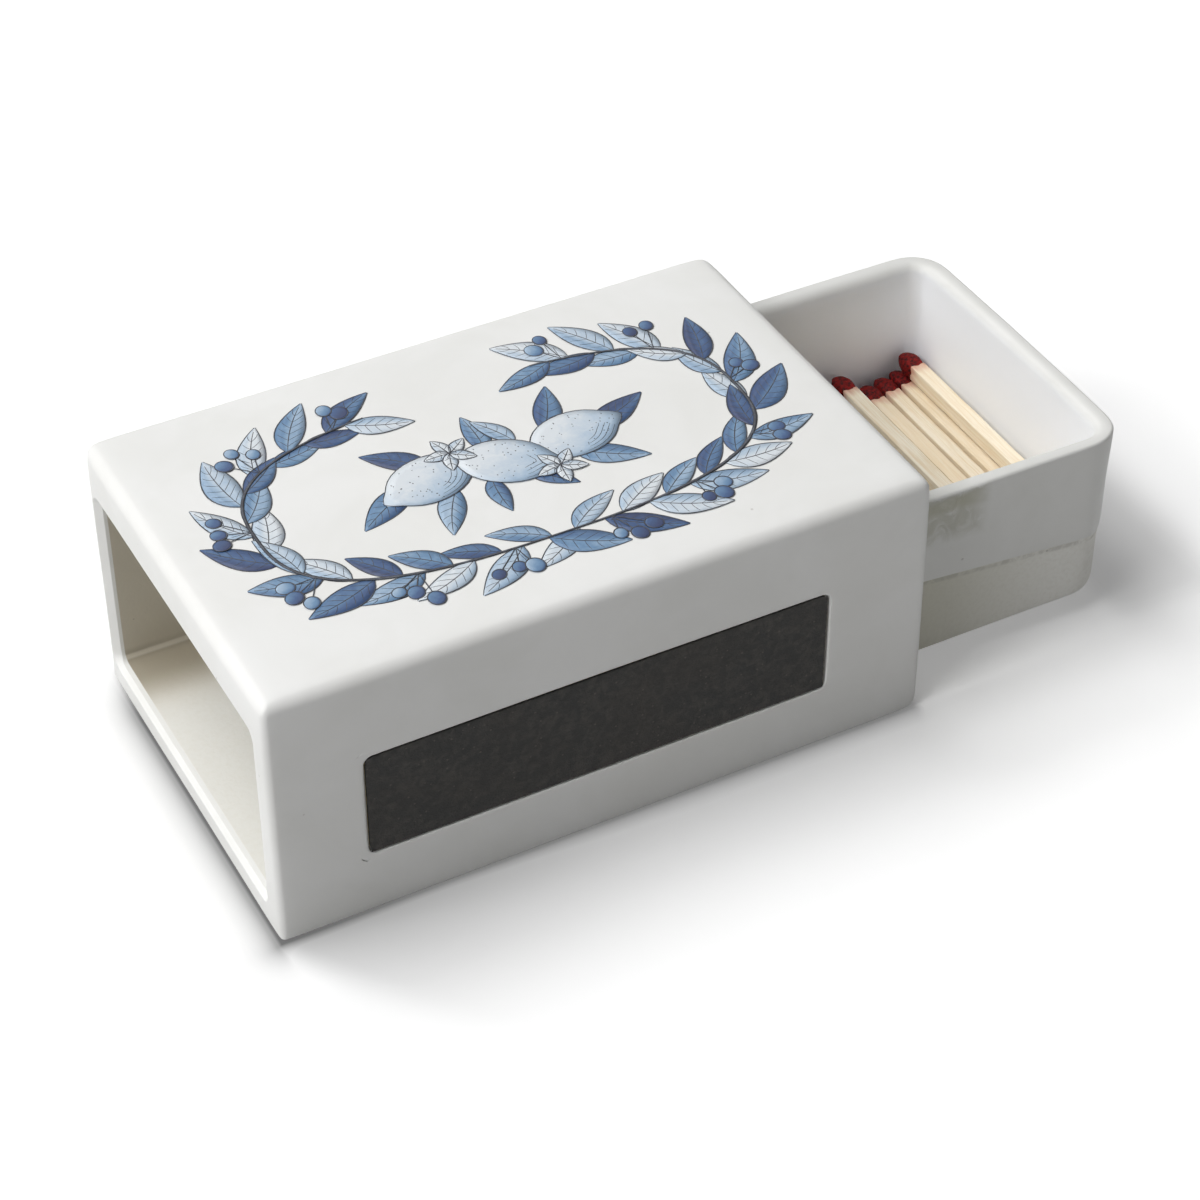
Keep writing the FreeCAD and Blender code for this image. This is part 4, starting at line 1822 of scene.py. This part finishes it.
        bench.pick(Pick.FACES, rim)
        bpy.ops.mesh.delete(type="FACE")
        inset = self.rim_wall - self.rim_inside
        sides = [2 * (edge - inset) for edge in self.half.xy]
        centre = (self.middle.x, 0.0, top)
        bench.outline(centre, Facing.UP, sides, self.cavity_corner + self.rim_inside)
        bench.lip(self.rim_inside, steps=4)
        deep = top - self.low.z - self.floor - self.rim_inside - self.cavity_round
        sides = [edge - 2 * self.rim_inside for edge in sides]
        for _ in range(self.draft_steps):
            bench.push((0.0, 0.0, -1.0), deep / self.draft_steps)
            less = [edge - 2 * self.draft / self.draft_steps for edge in sides]
            shrink = (less[0] / sides[0], less[1] / sides[1], 1.0)
            bpy.ops.transform.resize(value=shrink, center_override=centre)
            sides = less
        bench.lip(self.cavity_round, steps=3, inwards=False)
        bench.bridge(lambda edge: all(same(vert.co.z, top) for vert in edge.verts))

    def hand_made(self, point: Vector) -> Vector:
        """Give a point the small errors of a hand-finished tray.

        Args:
            point: the point as designed.

        Returns:
            The point as made.
        """
        top = clamp((point.z - self.top_from) / self.top_reach)
        top = top * top * (3 - 2 * top)
        return point + Vector((self.bow(point, top), self.sway(point, top), self.heave(point, top)))

    def bow(self, point: Vector, top: float) -> float:
        """Give how far the right end's rim bows out.

        Args:
            point: the point as designed.
            top: 0 at the walls' middle, 1 at the rim.

        Returns:
            The way along +X.
        """
        if point.x <= self.high.x - self.end_reach:
            return 0.0
        return self.end_bow * top * max(0.0, 1.0 - (point.y / self.high.y) ** 2)

    def sway(self, point: Vector, top: float) -> float:
        """Give how far the near wall leans in towards the back, and is pressed in at the creased patch.

        Args:
            point: the point as designed.
            top: 0 at the walls' middle, 1 at the rim.

        Returns:
            The way along +Y.
        """
        moved = 0.0
        if point.y < 0:
            near = clamp((-point.y - self.sway_start) / self.sway_reach)
            inner = clamp((self.high.y - abs(point.y)) / self.sway_wall)
            slope = min(self.sway_span, self.sway_from - point.x) * self.sway_slope
            moved += near * top * inner * slope
        if point.y < self.low.y + self.patch_wall:
            along = (point.x - self.patch[0]) / self.patch_size[0]
            upright = (point.z - self.patch[1]) / self.patch_size[1]
            moved += self.patch_depth * math.exp(-along * along - upright * upright)
        return moved

    def heave(self, point: Vector, top: float) -> float:
        """Give how far the leaning step is lifted, and the wavy rim lowered.

        Args:
            point: the point as designed.
            top: 0 at the walls' middle, 1 at the rim.

        Returns:
            The way along +Z.
        """
        moved = 0.0
        if stand_off(point - self.middle, self.half.xy, self.corner) > self.corner - self.ledge_depth:
            near = clamp(1.0 - abs(point.z - self.ledge) / self.ledge_reach)
            moved += near * (self.ledge_lift + min(LEAN_SPAN, LEAN_FROM - point.x) * LEAN)
        if point.z > self.wave_from:
            for pace, start, size in self.waves:
                moved -= size * (1.0 + math.sin(point.x / pace + start)) * top
        return moved


@dataclass
class Striker:
    """The striking strip in the sleeve's front, on its adhesive."""

    corner: float = 1.4 * MM
    edge: float = 0.12 * MM
    patches: tuple[int, int] = (60, 13)
    grain: float = 0.1 * MM
    grain_size: float = 0.7 * MM

    def build(self) -> None:
        """Model and dress the strip, and dress its adhesive."""
        low, high = span("striker_strip")
        bench = Bench.block("striking_strip", low, high)
        with bench.edit():
            width = bench.weigh(
                (self.corner, lambda a, b: same(a.x, b.x) and same(a.z, b.z)),
                (self.edge, lambda a, b: same(a.y, low.y) and same(b.y, low.y)),
            )
        bench.round_off(width, segments=4)
        with bench.edit():
            for axis, count in zip((0, 2), self.patches):
                start, flat = low[axis] + self.corner, high[axis] - low[axis] - 2 * self.corner
                bench.cut(axis, [start + flat * place / count for place in range(1, count)])
            bench.tidy()
        bench.modify("SUBSURF", subdivision_type="SIMPLE", levels=2, render_levels=2)
        bench.sink("striking_grain", self.grain, self.grain_size)
        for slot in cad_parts["striker_adhesive"].material_slots:
            slot.material = Film().build()
        bench.hand_over(Body.SLEEVE, Slot.STRIKER, Grit().build(), "striker_strip")


@dataclass
class MatchHeap:
    """The loose matches that lie in the drawer, heads to the back."""

    side: float = 2.8 * MM
    edge: float = 0.16 * MM
    end_edge: float = 0.096 * MM
    lanes: tuple[float, ...] = (-0.6 * MM, 0.0, 0.6 * MM)
    lengths: int = 22
    coat: float = 1.6 * MM
    plump: float = 1.12
    ball: float = 0.72
    neck: float = 0.86
    bulge: float = 0.24
    tone_step: float = 0.618
    wear: float = 0.16 * MM
    splint_dent: float = 5.0 * MM
    head_dent: float = 0.8 * MM

    def build(self) -> None:
        """Model one match, copy it to each place and dress the copies."""
        wood, paste = Aspen().build(), Paste().build()
        stick, bulb = self.model_splint(), self.model_head()
        numbers = sorted(name[6:8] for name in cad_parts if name.endswith("_splint"))
        for order, number in enumerate(numbers):
            place = self.place(number)
            splint = self.copy(stick, f"splint_{number}", place, self.splint_dent)
            self.note(splint.obj.data, (order * self.tone_step) % 1.0, place)
            splint.hand_over(Body.DRAWER, Slot.WOOD, wood, f"match_{number}_splint")
            head = self.copy(bulb, f"head_{number}", place, self.head_dent)
            head.hand_over(Body.DRAWER, Slot.HEAD, paste, f"match_{number}_head")
        for model in (stick, bulb):
            bpy.data.objects.remove(model, do_unlink=True)

    def place(self, number: str) -> Matrix:
        """Find where a match's head sits on its splint, and the way it points.

        Args:
            number: the match's two digits.

        Returns:
            The matrix that puts a model match in its place.
        """
        low, high = span(f"match_{number}_splint")
        tip_low, tip_high = span(f"match_{number}_head")
        way = (tip_low + tip_high - low - high).normalized()
        turn = Matrix.Rotation(-math.atan2(way.x, way.y), 4, "Z")
        seat = (low + high) / 2 + way * ((high.y - low.y) / 2)
        return Matrix.Translation(seat) @ turn

    def model_splint(self) -> bpy.types.Object:
        """Model one splint, with its head end at the origin, along -Y.

        Returns:
            The model.
        """
        low, high = span("match_01_splint")
        length = high.y - low.y
        half = self.side / 2
        bench = Bench.block("model_splint", (-half, -length, -half), (half, 0.0, half))
        with bench.edit():
            width = bench.weigh(
                (self.edge, lambda a, b: not same(a.y, b.y)),
                (self.end_edge, lambda a, b: same(a.y, b.y)),
            )
        bench.round_off(width, segments=2)
        with bench.edit():
            bench.cut(1, [-length * place / self.lengths for place in range(1, self.lengths)])
            for axis in (0, 2):
                bench.cut(axis, self.lanes)
            bench.tidy()
        return bench.obj

    def model_head(self) -> bpy.types.Object:
        """Model one head, which wraps the splint's end, along +Y from the origin.

        Returns:
            The model.
        """
        low, high = span("match_01_head")
        length = high.y - low.y
        radius = (high.x - low.x) / 2 * self.plump
        bench = Bench.block("model_head", (-radius, -self.coat, -radius), (radius, length, radius))
        with bench.edit():
            bpy.ops.mesh.select_all(action="SELECT")
            bpy.ops.mesh.subdivide(number_cuts=5)
            bpy.ops.transform.tosphere(value=self.ball)
            bench.tidy()
        bench.smooth(levels=1)

        def swell(point: Vector) -> Vector:
            """Thin the coat towards the splint and swell the bulb.

            Args:
                point: the point as modelled.

            Returns:
                The point on the bulb.
            """
            along = (point.y + self.coat) / (length + self.coat)
            girth = self.neck + self.bulge * math.sin(math.pi * min(1.0, along * 1.05)) ** 0.8
            return Vector((point.x * girth, point.y, point.z * girth))

        bench.shift(swell)
        points = [vertex.co for vertex in bench.obj.data.vertices]
        thick = radius / max(max(abs(point.x), abs(point.z)) for point in points)
        rear, front = min(point.y for point in points), max(point.y for point in points)
        long = (length + self.coat) / (front - rear)

        def fit(point: Vector) -> Vector:
            """Stretch the head to its own girth and length."""
            return Vector((point.x * thick, (point.y - rear) * long - self.coat, point.z * thick))

        bench.shift(fit)
        return bench.obj

    def copy(self, model: bpy.types.Object, name: str, place: Matrix, dent: float) -> Bench:
        """Copy a model to its place and wear it a little.

        Args:
            model: the model.
            name: the copy's name.
            place: where it goes.
            dent: size of one dent.

        Returns:
            The bench with the copy, which has its own mesh.
        """
        mesh = model.data.copy()
        mesh.name = name
        mesh.transform(place)
        bench = Bench(bpy.data.objects.new(name, mesh))
        bpy.context.collection.objects.link(bench.obj)
        bench.sink(f"wear_{name}", self.wear, dent)
        return bench

    def note(self, mesh: bpy.types.Mesh, tone: float, place: Matrix) -> None:
        """Note a splint's tone, and how far each point is from the head in millimetres.

        Args:
            mesh: the splint's mesh.
            tone: how dark it is.
            place: where its head end is.
        """
        back = place.inverted()
        dark = mesh.attributes.new("tone", "FLOAT", "POINT")
        reach = mesh.attributes.new("from_head", "FLOAT", "POINT")
        for index, vertex in enumerate(mesh.vertices):
            dark.data[index].value = tone
            reach.data[index].value = -(back @ vertex.co).y / MM


@dataclass(frozen=True)
class Lamp:
    """A soft lamp: degrees round from the left and up from the floor, and watts."""

    name: str
    around: float
    above: float
    power: float

    def way(self) -> Vector:
        """Give the direction that the lamp is in."""
        turn, rise = math.radians(self.around), math.radians(self.above)
        return Vector((-math.cos(turn) * math.cos(rise), math.sin(turn) * math.cos(rise), math.sin(rise)))


@dataclass
class Studio:
    """The pale floor, the soft light and the camera."""

    eye: tuple[float, float, float] = (-0.1633, -0.33617, 0.3346)
    gaze: tuple[float, float, float] = (0.3600, 0.6728, -0.6462)
    lens: float = 93.62
    sensor: float = 36.0
    clip: float = 0.01
    footprint: tuple[float, float] = (55.0 * MM, 34.8 * MM)
    whole_half: float = 75.0 * MM
    whole_middle: float = 20.0 * MM
    floor_size: float = 6.0
    reach: float = 2.4
    lamp_size: float = 1.2
    lamps: tuple[Lamp, ...] = (
        Lamp("left_lamp", -8.0, 50.0, 20.6),
        Lamp("low_lamp", 0.0, 35.0, 15.0),
        Lamp("high_lamp", 45.0, 65.0, 24.8),
        Lamp("back_lamp", 90.0, 45.0, 7.2),
        Lamp("front_lamp", -90.0, 35.0, 3.2),
    )

    def build(self) -> None:
        """Set the stage."""
        self.lay_floor()
        self.paint_room()
        for lamp in self.lamps:
            self.hang(lamp)
        self.aim()
        bpy.context.scene.view_settings.view_transform = "Standard"

    def lay_floor(self) -> None:
        """Lay a white floor that keeps the shadow, with painted shadow close to the object and painted light
        in places.
        """
        bpy.ops.object.select_all(action="DESELECT")
        bpy.ops.mesh.primitive_plane_add(size=self.floor_size, location=(0.0, 0.0, 0.0))
        floor = bpy.context.active_object
        floor.name = "paper_floor"
        shader = Shader("white_paper")
        seen = shader.seen()
        place = shader.place()
        x, y, _ = shader.split(place)
        fleck = shader.noise(place, 50 * MM)
        white = shader.mix(fleck, tint(252, 252, 252), tint(254, 254, 254))
        # Painted shadow darkens the floor's colour close to the object.
        white = shader.mix(self.painted_shadow(x, y), white, grey(0.0))
        # Painted light: the floor's glow is raised in front of the drawer and away from the object.
        painted_light = shader.mix(self.painted_light(x, y), grey(0.16), grey(0.31))
        finish = shader.dress(
            Base_Color=shader.mix(seen, grey(0.61), white),
            Roughness=0.9,
            Specular_IOR_Level=0.0,
            Emission_Color=shader.mix(seen, grey(0.0), painted_light),
            Emission_Strength=1.0,
        )
        floor.data.materials.append(finish)

    def painted_light(self, x: Signal, y: Signal) -> Signal:
        """Give where painted light brightens the floor: in front of the drawer, and away from the object.

        Args:
            x: the floor's first coordinate.
            y: its second coordinate.

        Returns:
            A mask.
        """
        under = x.rise(50 * MM, 62 * MM) * x.rise(104 * MM, 90 * MM) * y.rise(-58 * MM, -34 * MM)
        gap = x.beyond(self.whole_half, self.whole_middle).hypot(y.beyond(self.footprint[1]))
        right = x.rise(112 * MM, 126 * MM) & y.rise(-40 * MM, -15 * MM)
        return (under * 0.7) | (gap.rise(14 * MM, 34 * MM) * 0.5) | right

    def painted_shadow(self, x: Signal, y: Signal) -> Signal:
        """Give how far painted shadow darkens the floor close to the object.

        Args:
            x: the floor's first coordinate.
            y: its second coordinate.

        Returns:
            A mask.
        """
        beside, before = x.beyond(self.footprint[0]), y.beyond(self.footprint[1])
        gap = beside.hypot(before)
        front = gap.fade(2.2 * MM) * (x.rise(-25 * MM, -50 * MM) * 0.2 + 0.78) * x.rise(58 * MM, 54 * MM)
        left = gap.fade(3.0 * MM) * x.rise(-53 * MM, -56 * MM)
        close = (front | left) * y.rise(40 * MM, 20 * MM)
        lee = (x - before * 0.75).rise(-62 * MM, -53 * MM) * x.rise(120 * MM, 55 * MM)
        lee = lee * (x.rise(20 * MM, -45 * MM) * 0.38 + 0.17) * before.fade(14 * MM)
        right = x.rise(95 * MM, 99 * MM) * x.rise(122 * MM, 112 * MM)
        right = right * y.rise(-36 * MM, -28 * MM) * y.rise(28 * MM, 4 * MM)
        return close | (right * 0.2) | (lee * y.rise(-34 * MM, -36 * MM))

    def paint_room(self) -> None:
        """Give the scene a room that looks white and lights nothing."""
        room = RoomShader("pale_room")
        bpy.context.scene.world = room.dress(Color=grey(1.0), Strength=room.seen())

    def hang(self, lamp: Lamp) -> None:
        """Hang a square lamp that looks at the object.

        Args:
            lamp: the lamp.
        """
        data = bpy.data.lights.new(lamp.name, "AREA")
        data.size = self.lamp_size
        data.energy = lamp.power
        way = lamp.way()
        self.set_up(data, way * self.reach, -way)

    def aim(self) -> None:
        """Place the camera at the photograph's viewing angle."""
        camera = bpy.data.cameras.new("camera")
        camera.lens = self.lens
        camera.sensor_width = self.sensor
        camera.clip_start = self.clip
        bpy.context.scene.camera = self.set_up(camera, self.eye, Vector(self.gaze))

    def set_up(self, data: bpy.types.ID, place: Sequence[float], way: Vector) -> bpy.types.Object:
        """Put a lamp or camera in the scene.

        Args:
            data: the lamp or camera.
            place: where it goes.
            way: the way it looks.

        Returns:
            Its object.
        """
        obj = bpy.data.objects.new(data.name, data)
        bpy.context.collection.objects.link(obj)
        obj.location = place
        obj.rotation_euler = way.to_track_quat("-Z", "Y").to_euler()
        return obj


def main() -> None:
    """Build the pieces in order and set the stage."""
    logging.basicConfig(level=logging.INFO, format="%(message)s")
    sleeve = Sleeve().build()
    TopPrint(sleeve).build()
    Drawer().build()
    Striker().build()
    MatchHeap().build()
    Studio().build()
    bpy.context.view_layer.update()


if __name__ == "__main__":
    main()
